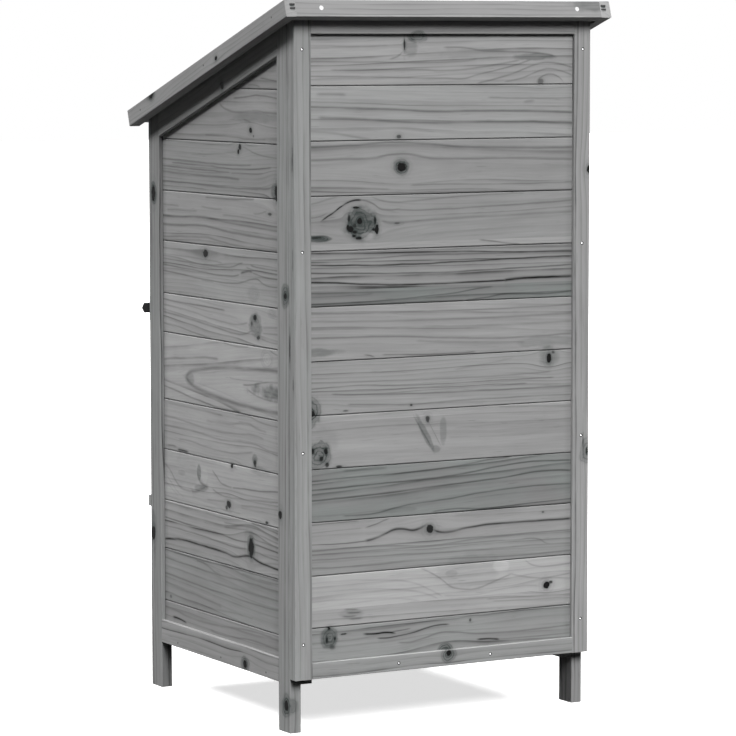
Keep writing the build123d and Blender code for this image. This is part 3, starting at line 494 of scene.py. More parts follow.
# Blooms on the frame timbers, such as the rings round a knot, a stain or a painted highlight along an edge:
# a place, the radii along the grain, across it and into the timber, how dark it is (below 0 for pale) and
# its rings.
Bloom = namedtuple("Bloom", "place radii shade rings")
POST_BLOOMS = (
    Bloom((266, 226, 676), (22, 14, 14), 0.5, 0.25),
    Bloom((266.5, 247, 600), (900, 3, 14), 0.16, 0.0),
    Bloom((-266, 256, 410), (26, 18, 18), 0.35, 0.3),
    Bloom((266, 225, 42), (20, 18, 18), 0.4, 0.3),
    Bloom((266, -233, 816), (20, 14, 14), 0.35, 0.3),
    Bloom((266, -242, 270), (26, 12, 12), 0.3, 0.0),
)
CROSS_BLOOMS = (
    Bloom((-7, 255.5, 103), (16, 15, 15), 0.4, 0.3),
    Bloom((-262, 278.5, 1124), (52, 17, 17), 0.42, 0.0),
    # Painted highlight: a pale line along the lower edge of the back fascia, where its rounded edge catches
    # the light
    Bloom((0, 278.5, 1101.4), (270, 2.0, 2.0), -0.6, 0.0),
    # Painted highlight: a pale line along the top edge of the back bottom rail, where light from above
    # catches it
    Bloom((0, 255.5, 110), (240, 1.3, 1.3), -0.5, 0.0),
    Bloom((49, 255.5, 1074), (15, 7, 7), 0.45, 0.3),
)
SIDE_RAIL_BLOOMS = (Bloom((267, 87, 85), (17, 13, 13), 0.35, 0.3),)
SLOPE_BLOOMS = (Bloom((291, -189, 977), (18, 11, 11), 0.3, 0.3),)

# Darkening round the staples: radii as for a bloom, how dark it is in the upper and in the lower row,
# and how much lower than the highest staple the upper row reaches. Millimetres.
STAPLE_DARK_RADII = (3.0, 1.5, 5.0)
UPPER_STAPLE_DARK = 0.85
LOWER_STAPLE_DARK = 0.45
STAPLE_ROW = 2.0


# Node trees


class Wiring:
    """Short ways to add and join the nodes of one tree."""

    def __init__(self, tree):
        self.tree = tree

    def feed(self, socket, value):
        if isinstance(value, bpy.types.NodeSocket):
            self.tree.links.new(value, socket)
        else:
            socket.default_value = value

    def node(self, kind, inputs=None, **settings):
        made = self.tree.nodes.new(kind)
        for key, value in settings.items():
            setattr(made, key, value)
        for key, value in (inputs or {}).items():
            self.feed(made.inputs[key], value)
        return made

    def math(self, operation, *values, clamp=False):
        made = self.node("ShaderNodeMath", operation=operation, use_clamp=clamp)
        for socket, value in zip(made.inputs, values):
            self.feed(socket, value)
        return made.outputs[0]

    def add(self, *values):
        result = values[0]
        for value in values[1:]:
            result = self.math("ADD", result, value)
        return result

    def less(self, first, second):
        return self.math("SUBTRACT", first, second)

    def times(self, *values, clamp=False):
        result = values[0]
        for value in values[1:]:
            result = self.math("MULTIPLY", result, value, clamp=clamp)
        return result

    def scaled(self, value, factor, shift):
        return self.math("MULTIPLY_ADD", value, factor, shift)

    def over(self, value, divisor):
        return self.math("DIVIDE", value, divisor)

    def bell(self, value, steepness=1.0):
        """1 at 0, and down towards 0 on both sides of it."""
        return self.math("EXPONENT", self.times(value, value, -steepness))

    def vector(self, operation, *values):
        made = self.node("ShaderNodeVectorMath", operation=operation)
        for socket, value in zip(made.inputs, values):
            self.feed(socket, value)
        return made.outputs["Value" if operation == "LENGTH" else "Vector"]

    def length(self, x, y, z):
        return self.vector("LENGTH", self.join(x, y, z))

    def split(self, vector):
        return self.node("ShaderNodeSeparateXYZ", {"Vector": vector}).outputs

    def join(self, x, y, z):
        return self.node("ShaderNodeCombineXYZ", {"X": x, "Y": y, "Z": z}).outputs["Vector"]

    def object_place(self):
        return self.node("ShaderNodeTexCoord").outputs["Object"]

    def attribute(self, name, output):
        return self.node("ShaderNodeAttribute", attribute_name=name).outputs[output]

    def noise(self, place, scale, detail=2.0, roughness=0.5):
        inputs = {"Vector": place, "Scale": scale, "Detail": detail, "Roughness": roughness}
        return self.node("ShaderNodeTexNoise", inputs).outputs["Fac"]

    def layer(self, layer, along, across, depth, shift=0.0):
        """Noise that is drawn out along the grain."""
        place = self.join(
            self.scaled(along, layer.along, shift),
            self.times(across, layer.across),
            self.times(depth, layer.across),
        )
        return self.noise(place, 1.0, layer.detail, layer.roughness)

    def about_zero(self, noise):
        return self.less(noise, 0.5)

    def band(self, value, start, end, low=0.0, high=1.0):
        """Smooth step of a value from low at start to high at end."""
        inputs = {"Value": value, "From Min": start, "From Max": end, "To Min": low, "To Max": high}
        return self.node("ShaderNodeMapRange", inputs, interpolation_type="SMOOTHSTEP").outputs["Result"]

    def mix(self, factor, first, second, blend="MIX"):
        made = self.node("ShaderNodeMix", data_type="RGBA", blend_type=blend)
        colours = [socket for socket in made.inputs if socket.type == "RGBA"]
        self.feed(made.inputs["Factor"], factor)
        self.feed(colours[0], first)
        self.feed(colours[1], second)
        return next(socket for socket in made.outputs if socket.type == "RGBA")

    def grey(self, value):
        inputs = {"Red": value, "Green": value, "Blue": value}
        return self.node("ShaderNodeCombineColor", inputs).outputs["Color"]

    def place_group(self, group, inputs):
        return self.node("ShaderNodeGroup", inputs, node_tree=group).outputs

    def bump(self, shader, height, strength, distance):
        made = self.node("ShaderNodeBump", {"Height": height, "Strength": strength, "Distance": distance})
        self.feed(shader.inputs["Normal"], made.outputs["Normal"])


FLOAT, VECTOR, COLOUR = "NodeSocketFloat", "NodeSocketVector", "NodeSocketColor"


def new_group(name, inputs, outputs):
    """An empty node group, with its wiring, its input sockets and its output sockets."""
    tree = bpy.data.node_groups.new(name, "ShaderNodeTree")
    for direction, sockets in (("INPUT", inputs), ("OUTPUT", outputs)):
        for kind, labels in sockets.items():
            for label in labels.split():
                tree.interface.new_socket(label, in_out=direction, socket_type=kind)
    entry = tree.nodes.new("NodeGroupInput")
    leave = tree.nodes.new("NodeGroupOutput")
    return tree, Wiring(tree), entry.outputs, leave.inputs


CORE_EDGE = (1.08, 0.75)
KNOT_RING_RATE = 6.5
KNOT_RING_SWING = 0.25
KNOT_RING_MEAN = 0.75
HALO_FADE = 0.35
HALO_SHARE = 0.6
BEND_DRAWN_OUT = 0.36
BEND_PUSH = -0.9


def make_knot_group():
    """One knot added to a chain: it bends the grain round itself, and has a dark core and a halo."""
    tree, w, given, out = new_group(
        "knot",
        {VECTOR: "Place Centre", FLOAT: "Size Stretch Reach Dark Wobble Bend Black Halo"},
        {FLOAT: "Bend Black Halo"},
    )
    along, across, depth = w.split(w.vector("SUBTRACT", given["Place"], given["Centre"]))[0:3]
    flat = w.over(along, given["Stretch"])
    radius = w.add(w.over(w.length(flat, across, depth), given["Size"]), given["Wobble"])
    core = w.times(w.band(radius, *CORE_EDGE), given["Dark"])
    wave = w.math("SINE", w.times(radius, KNOT_RING_RATE))
    rings = w.scaled(wave, KNOT_RING_SWING, KNOT_RING_MEAN)
    halo = w.times(w.bell(radius, HALO_FADE), rings, given["Dark"])
    spread = w.times(given["Size"], given["Reach"])
    far = w.over(w.length(w.times(flat, BEND_DRAWN_OUT), across, depth), spread)
    push = w.times(w.bell(far), across, BEND_PUSH)
    w.feed(out["Bend"], w.add(given["Bend"], push))
    w.feed(out["Black"], w.math("MAXIMUM", given["Black"], core))
    w.feed(out["Halo"], w.math("MAXIMUM", given["Halo"], w.times(halo, HALO_SHARE)))
    return tree


DISC_EDGE = (1.1, 0.65)
DISC_RING_RATE = 24.0
DISC_RING_PART = (0.2, 0.95)


def make_disc_group():
    """One disc added to a chain: a mottled darker or paler round in the figure, with or without rings; pale
    ones on the frame are painted highlights along edges.
    """
    tree, w, given, out = new_group(
        "figure disc and painted highlight",
        {VECTOR: "Place Centre Spread", FLOAT: "Shade Rings Lean Wobble Mottle Halo"},
        {FLOAT: "Halo"},
    )
    along, across, depth = w.split(w.vector("SUBTRACT", given["Place"], given["Centre"]))[0:3]
    upright = w.less(along, w.times(across, given["Lean"]))
    away = w.vector("MULTIPLY", w.join(upright, across, depth), given["Spread"])
    radius = w.add(given["Wobble"], w.vector("LENGTH", away))
    inside = w.band(radius, *DISC_EDGE)
    wave = w.math("SINE", w.times(radius, DISC_RING_RATE))
    rings = w.times(w.band(wave, *DISC_RING_PART), given["Rings"])
    shade = w.times(inside, w.scaled(given["Shade"], given["Mottle"], rings))
    w.feed(out["Halo"], w.add(given["Halo"], shade))
    return tree


SHADE_BELOW_LINE = 0.3
SHADE_FADE = 0.4
LINE_END_FADE = (-3 * MM, 8 * MM)


def make_line_group():
    """One growth line or crack: sharp above, with a soft shade below. Spot is a place along the board,
    a height and the darkness so far, and goes from line to line."""
    tree, w, given, out = new_group(
        "grain line", {VECTOR: "Spot", FLOAT: "Height Start End Width Dark"}, {VECTOR: "Spot"}
    )
    along, across, before = w.split(given["Spot"])[0:3]
    off = w.over(w.less(across, given["Height"]), given["Width"])
    sharp = w.bell(off)
    below = w.times(w.math("LESS_THAN", off, 0.0), SHADE_BELOW_LINE)
    soft = w.times(w.math("EXPONENT", w.times(off, SHADE_FADE)), below)
    inside = w.math("MINIMUM", w.less(along, given["Start"]), w.less(given["End"], along))
    line = w.times(w.math("MAXIMUM", sharp, soft), w.band(inside, *LINE_END_FADE), given["Dark"])
    w.feed(out["Spot"], w.join(along, across, w.math("MAXIMUM", before, line)))
    return tree


# A layer of noise in the wood: how often it changes in a metre along the grain and across it, how many
# finer layers are in it and how strong these are
Layer = namedtuple("Layer", "along across detail roughness")
SWAY_LAYER = Layer(2.4, 13.0, 3.0, 0.4)
BROAD_LAYER = Layer(2.6, 42.0, 4.0, 0.6)
FINE_LAYER = Layer(9.0, 280.0, 3.0, 0.6)
DASH_LAYER = Layer(26.0, 420.0, 2.0, 0.5)
PATCH_LAYER = Layer(7.0, 20.0, 3.0, 0.55)
FIBRE_LAYER = Layer(9.0, 280.0, 2.0, 0.6)
THREAD_LAYER = Layer(60.0, 1500.0, 1.0, 0.6)

# Growth rings: how far they sway, where their middle lies in the board's depth, and how unevenly they are
# spaced. Each ring darkens gently over its width, then steeply, and turns pale again at its edge.
SEED_STEP = 37.0
RING_SWAY = 24 * MM
RING_CENTRE_DEPTH = 5 * MM
RING_DRIFT = 2.2
DRIFT_ACROSS = 28.0
DRIFT_ALONG = 0.7
RING_GENTLE = (0.15, 0.85)
GENTLE_SHARE = 0.4
RING_STEEP = (0.62, 0.84)
STEEP_SHARE = 0.6
RING_DROP = (0.86, 0.95)

# Strength of the single rings, which also changes along each ring
RING_STRENGTH = 0.9
RING_LEAST = 0.25
CHANGE_ALONG = 9.0
CHANGE_BY_RING = 3.7
RING_CHANGE = (0.3, 0.65, 0.35, 1.2)

# Shares of the rings and the layers in the wood's grey
RING_SHARE = 0.55
BROAD_SHARE = 0.42
FINE_SHARE = 0.34
DASH_SHARE = -0.22
DASH_PART = (0.62, 0.8)
PATCH_SHARE = 0.24

# Stains, halos and knots, and the roughness of it all
STAIN_PART = (-0.25, 0.15)
GREEN_STAIN = (0.93, 1.0, 0.975, 1.0)
PALE_HALO = -0.5
HALO_COLOUR = (0.05, 0.058, 0.056, 1.0)
KNOT_BLACK = (0.008, 0.008, 0.008, 1.0)
PINE_ROUGHNESS = 0.82
RING_ROUGHNESS = -0.12
FINE_ROUGHNESS = 0.15


def make_pine_group():
    """Weathered pine: growth lines that follow the bent grain, streaks, fibres, stains, knots."""
    tree, w, given, out = new_group(
        "weathered pine",
        {
            VECTOR: "Place",
            FLOAT: "Pith Lean Spacing Contrast Grey Green Seed Bend Black Halo Lines Streaks",
        },
        {COLOUR: "Color", FLOAT: "Roughness"},
    )
    along, across, depth = w.split(given["Place"])[0:3]
    seed = w.times(given["Seed"], SEED_STEP)
    bent = w.add(across, given["Bend"])

    sway = w.times(w.about_zero(w.layer(SWAY_LAYER, along, bent, depth, seed)), RING_SWAY)
    line_place = w.add(bent, sway)
    ring_radius = w.length(w.less(line_place, given["Pith"]), depth, RING_CENTRE_DEPTH)
    ring = w.less(ring_radius, w.times(along, given["Lean"]))
    drift = w.noise(w.join(w.times(ring, DRIFT_ACROSS), seed, w.times(along, DRIFT_ALONG)), 1.0, 1.0)
    phase = w.add(w.over(ring, given["Spacing"]), w.times(drift, RING_DRIFT), seed)
    share = w.math("FRACT", phase)
    number = w.math("FLOOR", phase)
    gentle = w.times(w.band(share, *RING_GENTLE), GENTLE_SHARE)
    steep = w.times(w.band(share, *RING_STEEP), STEEP_SHARE)
    drop = w.band(share, *RING_DROP, 1.0, 0.0)
    draw = w.node("ShaderNodeTexWhiteNoise", {"W": w.add(number, seed)}, noise_dimensions="1D")
    chance = draw.outputs["Value"]
    strength = w.scaled(w.times(chance, chance), RING_STRENGTH, RING_LEAST)
    change_place = w.join(w.times(along, CHANGE_ALONG), w.times(number, CHANGE_BY_RING), seed)
    change = w.noise(change_place, 1.0, 3.0)
    strength = w.times(strength, w.band(change, *RING_CHANGE))
    line = w.times(w.add(gentle, steep), drop, strength, given["Contrast"])

    leaning = w.less(line_place, w.times(along, given["Lean"]))
    broad = w.about_zero(w.layer(BROAD_LAYER, along, leaning, depth, seed))
    fine = w.about_zero(w.layer(FINE_LAYER, along, leaning, depth, seed))
    dash = w.band(w.layer(DASH_LAYER, along, leaning, depth, seed), *DASH_PART)
    patch = w.about_zero(w.layer(PATCH_LAYER, along, across, depth, seed))

    streaks = w.add(w.times(broad, BROAD_SHARE), w.times(fine, FINE_SHARE), w.times(dash, DASH_SHARE))
    shade = w.add(1.0, w.times(streaks, given["Streaks"]), w.times(patch, PATCH_SHARE))
    # Negative halos make the wood paler: pale figure in the boards, and painted highlights along some frame
    # edges
    pale = w.scaled(w.math("MINIMUM", given["Halo"], 0.0), PALE_HALO, 1.0)
    value = w.times(given["Grey"], shade, pale)
    value = w.times(value, w.less(1.0, w.times(line, RING_SHARE)))
    value = w.times(value, w.less(1.0, w.times(given["Lines"], 1.0, clamp=True)))
    clean = w.grey(value)
    stain_mask = w.times(w.band(patch, *STAIN_PART), given["Green"], clamp=True)
    stained = w.mix(stain_mask, clean, w.mix(1.0, clean, GREEN_STAIN, "MULTIPLY"))
    haloed = w.mix(w.times(given["Halo"], 1.0, clamp=True), stained, HALO_COLOUR)
    w.feed(out["Color"], w.mix(given["Black"], haloed, KNOT_BLACK))
    rough = w.scaled(line, RING_ROUGHNESS, PINE_ROUGHNESS)
    w.feed(out["Roughness"], w.scaled(fine, FINE_ROUGHNESS, rough))
    return tree


FIBRE_SHARE = 0.7
THREAD_SHARE = 0.3


def make_fibre_group():
    """Height of the raised grain, for a bump along one direction."""
    tree, w, given, out = new_group("raised grain", {VECTOR: "Place"}, {FLOAT: "Height"})
    along, across, depth = w.split(given["Place"])[0:3]
    coarse = w.times(w.layer(FIBRE_LAYER, along, across, depth), FIBRE_SHARE)
    thread = w.times(w.layer(THREAD_LAYER, along, across, depth), THREAD_SHARE)
    w.feed(out["Height"], w.add(coarse, thread))
    return tree


KNOT_WOBBLE = 0.9
KNOT_WOBBLE_RATE = 130.0
DISC_WOBBLE = 0.8
DISC_WOBBLE_RATE = 50.0
DISC_STREAKS = (35.0, 190.0, 190.0)
DISC_MOTTLE = (0.3, 0.7, 0.8, 1.2)


def make_wobble_group():
    """Unevenness of the outlines of knots and discs, and of the shade of discs."""
    tree, w, given, out = new_group("uneven marks", {VECTOR: "Place"}, {FLOAT: "Knot Disc Mottle"})
    place = given["Place"]
    w.feed(out["Knot"], w.times(w.about_zero(w.noise(place, KNOT_WOBBLE_RATE, 2.0)), KNOT_WOBBLE))
    w.feed(out["Disc"], w.times(w.about_zero(w.noise(place, DISC_WOBBLE_RATE, 4.0)), DISC_WOBBLE))
    streaks = w.noise(w.vector("MULTIPLY", place, DISC_STREAKS), 1.0, 3.0)
    w.feed(out["Mottle"], w.band(streaks, *DISC_MOTTLE))
    return tree


RIPPLE_RATES = (22.0, 60.0)
RIPPLE = 2.2 * MM
FADE_RATES = (14.0, 130.0)
FADE_DEPTH = 3.0
FADE_RANGE = (0.25, 0.6, 0.7, 1.2)


def make_ripple_group():
    """Start of a wall's growth lines: the place, slightly rippled, and how strong the lines are there."""
    tree, w, given, out = new_group("rippled lines", {VECTOR: "Place"}, {VECTOR: "Spot", FLOAT: "Strength"})
    along, across = w.split(given["Place"])[0:2]
    ripple_place = w.join(w.times(along, RIPPLE_RATES[0]), w.times(across, RIPPLE_RATES[1]), 0.0)
    ripple = w.about_zero(w.noise(ripple_place, 1.0, 2.0))
    w.feed(out["Spot"], w.join(along, w.scaled(ripple, RIPPLE, across), 0.0))
    fade_place = w.join(w.times(along, FADE_RATES[0]), w.times(across, FADE_RATES[1]), FADE_DEPTH)
    w.feed(out["Strength"], w.band(w.noise(fade_place, 1.0, 3.0), *FADE_RANGE))
    return tree


SPOTS_IN_COLOUR = (0.35, 0.7)
SPOTS_IN_GLOSS = (0.2, 0.8)


def make_metal_group():
    """Painted or plated metal: faint spots in its colour, its roughness and its height."""
    tree, w, given, out = new_group(
        "spotted metal",
        {VECTOR: "Place", COLOUR: "Clean Dulled", FLOAT: "Grit Smooth Rough"},
        {COLOUR: "Color", FLOAT: "Roughness Height"},
    )
    spots = w.noise(given["Place"], given["Grit"], 3.0, 0.6)
    w.feed(out["Color"], w.mix(w.band(spots, *SPOTS_IN_COLOUR), given["Clean"], given["Dulled"]))
    w.feed(out["Roughness"], w.band(spots, *SPOTS_IN_GLOSS, given["Smooth"], given["Rough"]))
    w.feed(out["Height"], spots)
    return tree


knot_group = make_knot_group()
disc_group = make_disc_group()
line_group = make_line_group()
pine_group = make_pine_group()
fibre_group = make_fibre_group()
wobble_group = make_wobble_group()
ripple_group = make_ripple_group()
metal_group = make_metal_group()


def to_linear(display):
    """Linear value of a displayed grey."""
    return ((display + 0.055) / 1.055) ** 2.4


def new_material(name):
    """A material with its wiring and its Principled shader."""
    material = bpy.data.materials.new(name)
    material.use_nodes = True
    w = Wiring(material.node_tree)
    shader = next(node for node in material.node_tree.nodes if node.type == "BSDF_PRINCIPLED")
    return material, w, shader


GRAIN_ORDER = {"X": (0, 2, 1), "Y": (1, 2, 0), "Z": (2, 0, 1)}


def grain_place(w, axis, tilt=0.0):
    """Object coordinates in the order along the grain, across it, into the timber."""
    place = w.object_place()
    if tilt:
        inputs = {"Vector": place, "Axis": (1, 0, 0), "Angle": -math.radians(tilt)}
        place = w.node("ShaderNodeVectorRotate", inputs, rotation_type="AXIS_ANGLE").outputs["Vector"]
    axes = w.split(place)
    return w.join(*[axes[index] for index in GRAIN_ORDER[axis]])


WOOD_GLOSS = 0.06
FIBRE_STRENGTH = 0.4
FIBRE_HEIGHT = 0.6 * MM


def finish_pine(w, shader, place, marks, figure):
    """Join the pine group to a shader."""
    made = w.place_group(pine_group, {"Place": place, **marks, **figure})
    w.feed(shader.inputs["Base Color"], made["Color"])
    w.feed(shader.inputs["Roughness"], made["Roughness"])
    w.bump(shader, w.place_group(fibre_group, {"Place": place})["Height"], FIBRE_STRENGTH, FIBRE_HEIGHT)
    shader.inputs["Specular IOR Level"].default_value = WOOD_GLOSS


def no_marks():
    return {"Bend": 0.0, "Black": 0.0, "Halo": 0.0, "Lines": 0.0}


def add_knot(w, place, uneven, marks, centre, size, stretch, reach, dark):
    """Place one knot and carry on the chain of marks."""
    chain = {key: marks[key] for key in ("Bend", "Black", "Halo")}
    where = {"Place": place, "Centre": centre, "Wobble": uneven["Knot"]}
    knot = {"Size": size * MM, "Stretch": stretch, "Reach": reach, "Dark": dark}
    made = w.place_group(knot_group, {**where, **knot, **chain})
    for key in chain:
        marks[key] = made[key]


def add_disc(w, place, uneven, marks, centre, radii, shade, rings, lean=0.0):
    """Place one disc and carry on the chain of marks."""
    where = {"Place": place, "Centre": centre, "Wobble": uneven["Disc"], "Mottle": uneven["Mottle"]}
    spread = tuple(1 / (radius * MM) for radius in radii)
    disc = {"Spread": spread, "Shade": shade, "Rings": rings, "Lean": lean}
    made = w.place_group(disc_group, {**where, **disc, "Halo": marks["Halo"]})
    marks["Halo"] = made["Halo"]


LINE_SPREAD = 1.1


def add_line(w, spot, line):
    """Place one growth line, whose height over the board's length is a smooth curve."""
    curve = w.node("ShaderNodeFloatCurve", {"Value": w.split(spot)[0]})
    curve.mapping.use_clip = False
    handles = curve.mapping.curves[0].points
    places = [(along * MM, height * MM) for along, height in line.points]
    handles[0].location = places[0]
    handles[1].location = places[-1]
    for place in places[1:-1]:
        handles.new(*place)
    curve.mapping.update()
    made = w.place_group(
        line_group,
        {
            "Spot": spot, "Height": curve.outputs["Value"], "Start": places[0][0], "End": places[-1][0],
            "Width": line.width * LINE_SPREAD * MM, "Dark": line.dark,
        },
    )
    return made["Spot"]


def board_material(name, axis, knots, discs, lines):
    """Wall boards: the strips' own values come with the mesh; knots, discs and lines are placed one by one.
    """
    material, w, shader = new_material(name)
    place = w.vector("MULTIPLY", grain_place(w, axis), (1.0, 1.0, 0.0))
    uneven = w.place_group(wobble_group, {"Place": place})
    marks = no_marks()
    for knot in knots:
        centre = (knot.along * MM, knot.height * MM, 0.0)
        add_knot(w, place, uneven, marks, centre, knot.size, knot.stretch, knot.reach, knot.dark)
    for disc in discs:
        centre = (disc.along * MM, disc.height * MM, 0.0)
        radii = (disc.wide, disc.tall, disc.tall)
        add_disc(w, place, uneven, marks, centre, radii, disc.shade, disc.rings, disc.lean)
    if lines:
        rippled = w.place_group(ripple_group, {"Place": place})
        spot = rippled["Spot"]
        for line in lines:
            spot = add_line(w, spot, line)
        marks["Lines"] = w.times(w.split(spot)[2], rippled["Strength"])
    figure = w.split(w.attribute("figure", "Vector"))
    shade = w.split(w.attribute("shade", "Vector"))
    own = {
        "Pith": figure[0], "Lean": figure[1], "Spacing": figure[2], "Grey": shade[0], "Green": shade[1],
        "Contrast": shade[2], "Seed": w.attribute("seed", "Fac"), "Streaks": 1.0,
    }
    finish_pine(w, shader, place, marks, own)
    return material


FRAME_KNOT_REACH = 2.4
FRAME_LEAN = 0.006
FRAME_RINGS = 7 * MM
FRAME_CONTRAST = 1.15


def frame_material(name, axis, blemishes, blooms, pith, tilt=0.0):
    """Frame timber: each piece's own grey, stain, seed and strength of grain are in its object colour."""
    material, w, shader = new_material(name)
    place = grain_place(w, axis, tilt)
    uneven = w.place_group(wobble_group, {"Place": place})
    turn = Matrix.Rotation(-math.radians(tilt), 3, "X")

    def along_grain(spot):
        middle = turn @ (Vector(spot) * MM)
        return tuple(middle[index] for index in GRAIN_ORDER[axis])

    marks = no_marks()
    for mark in blemishes:
        centre = along_grain(mark.place)
        add_knot(w, place, uneven, marks, centre, mark.size, mark.stretch, FRAME_KNOT_REACH, mark.dark)
    for bloom in blooms:
        add_disc(w, place, uneven, marks, along_grain(bloom.place), bloom.radii, bloom.shade, bloom.rings)
    info = w.node("ShaderNodeObjectInfo").outputs
    colour = w.node("ShaderNodeSeparateColor", {"Color": info["Color"]}).outputs
    own = {
        "Pith": pith, "Lean": FRAME_LEAN, "Spacing": FRAME_RINGS,
        "Contrast": w.times(info["Alpha"], FRAME_CONTRAST), "Streaks": info["Alpha"],
        "Grey": colour["Red"], "Green": colour["Green"], "Seed": colour["Blue"],
    }
    finish_pine(w, shader, place, marks, own)
    return material


METAL_DULLED = 0.7
METAL_SMOOTHER = 0.8
METAL_ROUGHER = 1.25
METAL_BUMP = 0.15
METAL_BUMP_HEIGHT = 0.2 * MM
# Painted shade for the marked part of a metal, such as the grooves round the screw heads
PAINTED_GROOVE_SHADE = (0.02, 0.02, 0.02, 1.0)


def plain_metal(name, colour, metallic, roughness, grit, gloss=0.5, painted_shade_part=None):
    """Painted or plated metal, with painted shade where the mesh marks a part, such as the hollows round the
    screw heads.
    """
    material, w, shader = new_material(name)
    dulled = tuple(METAL_DULLED * part for part in colour[:3]) + (1.0,)
    finish = {"Place": w.object_place(), "Grit": grit, "Clean": colour, "Dulled": dulled}
    gloss_range = {"Smooth": roughness * METAL_SMOOTHER, "Rough": roughness * METAL_ROUGHER}
    spotted = w.place_group(metal_group, {**finish, **gloss_range})
    base = spotted["Color"]
    # Painted shade: the marked part is mixed towards near black
    if painted_shade_part:
        base = w.mix(w.attribute(painted_shade_part, "Fac"), base, PAINTED_GROOVE_SHADE)
    w.feed(shader.inputs["Base Color"], base)
    w.feed(shader.inputs["Roughness"], spotted["Roughness"])
    shader.inputs["Metallic"].default_value = metallic
    shader.inputs["Specular IOR Level"].default_value = gloss
    w.bump(shader, spotted["Height"], METAL_BUMP, METAL_BUMP_HEIGHT)
    return material


FELT_GRAINS = 900.0
FELT_CLOUDS = 7.0
FELT_CLOUD_PART = (0.3, 0.7)
FELT_DARK = (0.035, 0.036, 0.038, 1.0)
FELT_LESS_DARK = (0.06, 0.06, 0.061, 1.0)
FELT_LIGHT_GRAIN = (0.17, 0.17, 0.168, 1.0)
FELT_LIGHT_PART = (0.7, 1.0)
FELT_ROUGHNESS = 0.92
FELT_BUMP = 0.6
FELT_BUMP_HEIGHT = 0.8 * MM


def felt_material():
    """Roofing felt: dark mineral granules, with lighter ones between."""
    material, w, shader = new_material("roofing felt")
    place = w.object_place()
    grains = w.node("ShaderNodeTexVoronoi", {"Vector": place, "Scale": FELT_GRAINS}).outputs
    cloud = w.noise(place, FELT_CLOUDS, 4.0)
    pick = w.split(grains["Color"])[0]
    dark = w.mix(w.band(cloud, *FELT_CLOUD_PART), FELT_DARK, FELT_LESS_DARK)
    w.feed(shader.inputs["Base Color"], w.mix(w.band(pick, *FELT_LIGHT_PART), dark, FELT_LIGHT_GRAIN))
    shader.inputs["Roughness"].default_value = FELT_ROUGHNESS
    w.bump(shader, grains["Distance"], FELT_BUMP, FELT_BUMP_HEIGHT)
    return material


# Wall boards

SAME_PLACE = 0.01 * MM


def islands(node):
    """Corner boxes of the separate solids of a CAD node, from the bottom up."""
    mesh = bmesh.new()
    mesh.from_mesh(nodes[node].data)
    bmesh.ops.remove_doubles(mesh, verts=mesh.verts, dist=SAME_PLACE)
    waiting = set(mesh.verts)
    boxes = []
    while waiting:
        group = [waiting.pop()]
        for vert in group:
            for edge in vert.link_edges:
                other = edge.other_vert(vert)
                if other in waiting:
                    waiting.remove(other)
                    group.append(other)
        places = [vert.co for vert in group]
        low = Vector([min(place[axis] for place in places) for axis in range(3)])
        high = Vector([max(place[axis] for place in places) for axis in range(3)])
        boxes.append((low, high))
    mesh.free()
    return sorted(boxes, key=lambda pair: tuple(pair[0].zyx))


# A board: the gap at its joint, the rounding of its edges and the corners that hold it in shape beside them,
# its tongue, and the hollow of its outer face, which lies slightly back and sways in a few waves
JOINT_GAP = 1.2 * MM
EASED = 1.0 * MM
SUPPORT = 0.4 * MM
TONGUE = 4.0 * MM
TONGUE_PLAY = 0.15 * MM
CUP = 0.25 * MM
SETBACK = 0.4 * MM
SWAY_OF_FACE = 0.12 * MM
SWAY_WAVES = 4
FACE_STEPS = 8
BOARD_STEP = 20.0 * MM


def board_section(low, high, thick, first, last, breaks):
    """Outline of a board's end as (height, depth below its outer face), with rounded edges."""
    groove = (thick / 2 - TONGUE / 2 - TONGUE_PLAY, thick / 2 + TONGUE / 2 + TONGUE_PLAY)
    tongue = (thick / 2 - TONGUE / 2, thick / 2 + TONGUE / 2)
    tongue_tip = high + TONGUE - TONGUE_PLAY
    middle = (low + high) / 2
    half = (high - low) / 2
    flat_low, flat_high = low + EASED + SUPPORT, high - EASED - SUPPORT
    face = {flat_low + (flat_high - flat_low) * step / FACE_STEPS for step in range(FACE_STEPS + 1)}
    face |= {z for z in breaks if low + 3 * EASED < z < high - 3 * EASED}
    face = sorted(face | {low + EASED, high - EASED})
    round_part = EASED * (1 - math.cos(math.pi / 4))
    points = [(low, EASED + CUP), (low + round_part, round_part + CUP)]
    points += [(z, CUP * ((z - middle) / half) ** 2) for z in face]
    points += [(high - round_part, round_part + CUP), (high, EASED + CUP)]
    if not last:
        points += [(high, tongue[0]), (tongue_tip, tongue[0]), (tongue_tip, tongue[1]), (high, tongue[1])]
    points += [(high, thick - EASED), (high - round_part, thick - round_part), (high - EASED, thick)]
    points += [(flat_high, thick), (flat_low, thick)]
    points += [(low + EASED, thick), (low + round_part, thick - round_part), (low, thick - EASED)]
    if not first:
        points += [(low, groove[1]), (low + TONGUE, groove[1]), (low + TONGUE, groove[0]), (low, groove[0])]
    return points


def random_strips(limits, rng):
    """Strips of quiet boards, one to a board."""
    return [
        Strip(
            low=limit / MM,
            grey=rng.uniform(0.53, 0.63),
            green=rng.choice((0.0, 0.0, 0.2, 0.6)),
            contrast=rng.uniform(0.45, 1.0),
            pith=FAR,
            lean=rng.uniform(-0.03, 0.03),
            spacing=rng.uniform(8, 18),
        )
        for limit in limits
    ]


def close_tube(mesh, rings):
    """Faces between rings of corners, and the two end faces."""
    count = len(rings[0])
    sides = []
    for first, second in zip(rings, rings[1:]):
        for index in range(count):
            after = (index + 1) % count
            sides.append(mesh.faces.new((first[index], first[after], second[after], second[index])))
    return sides, [mesh.faces.new(rings[0]), mesh.faces.new(rings[-1])]


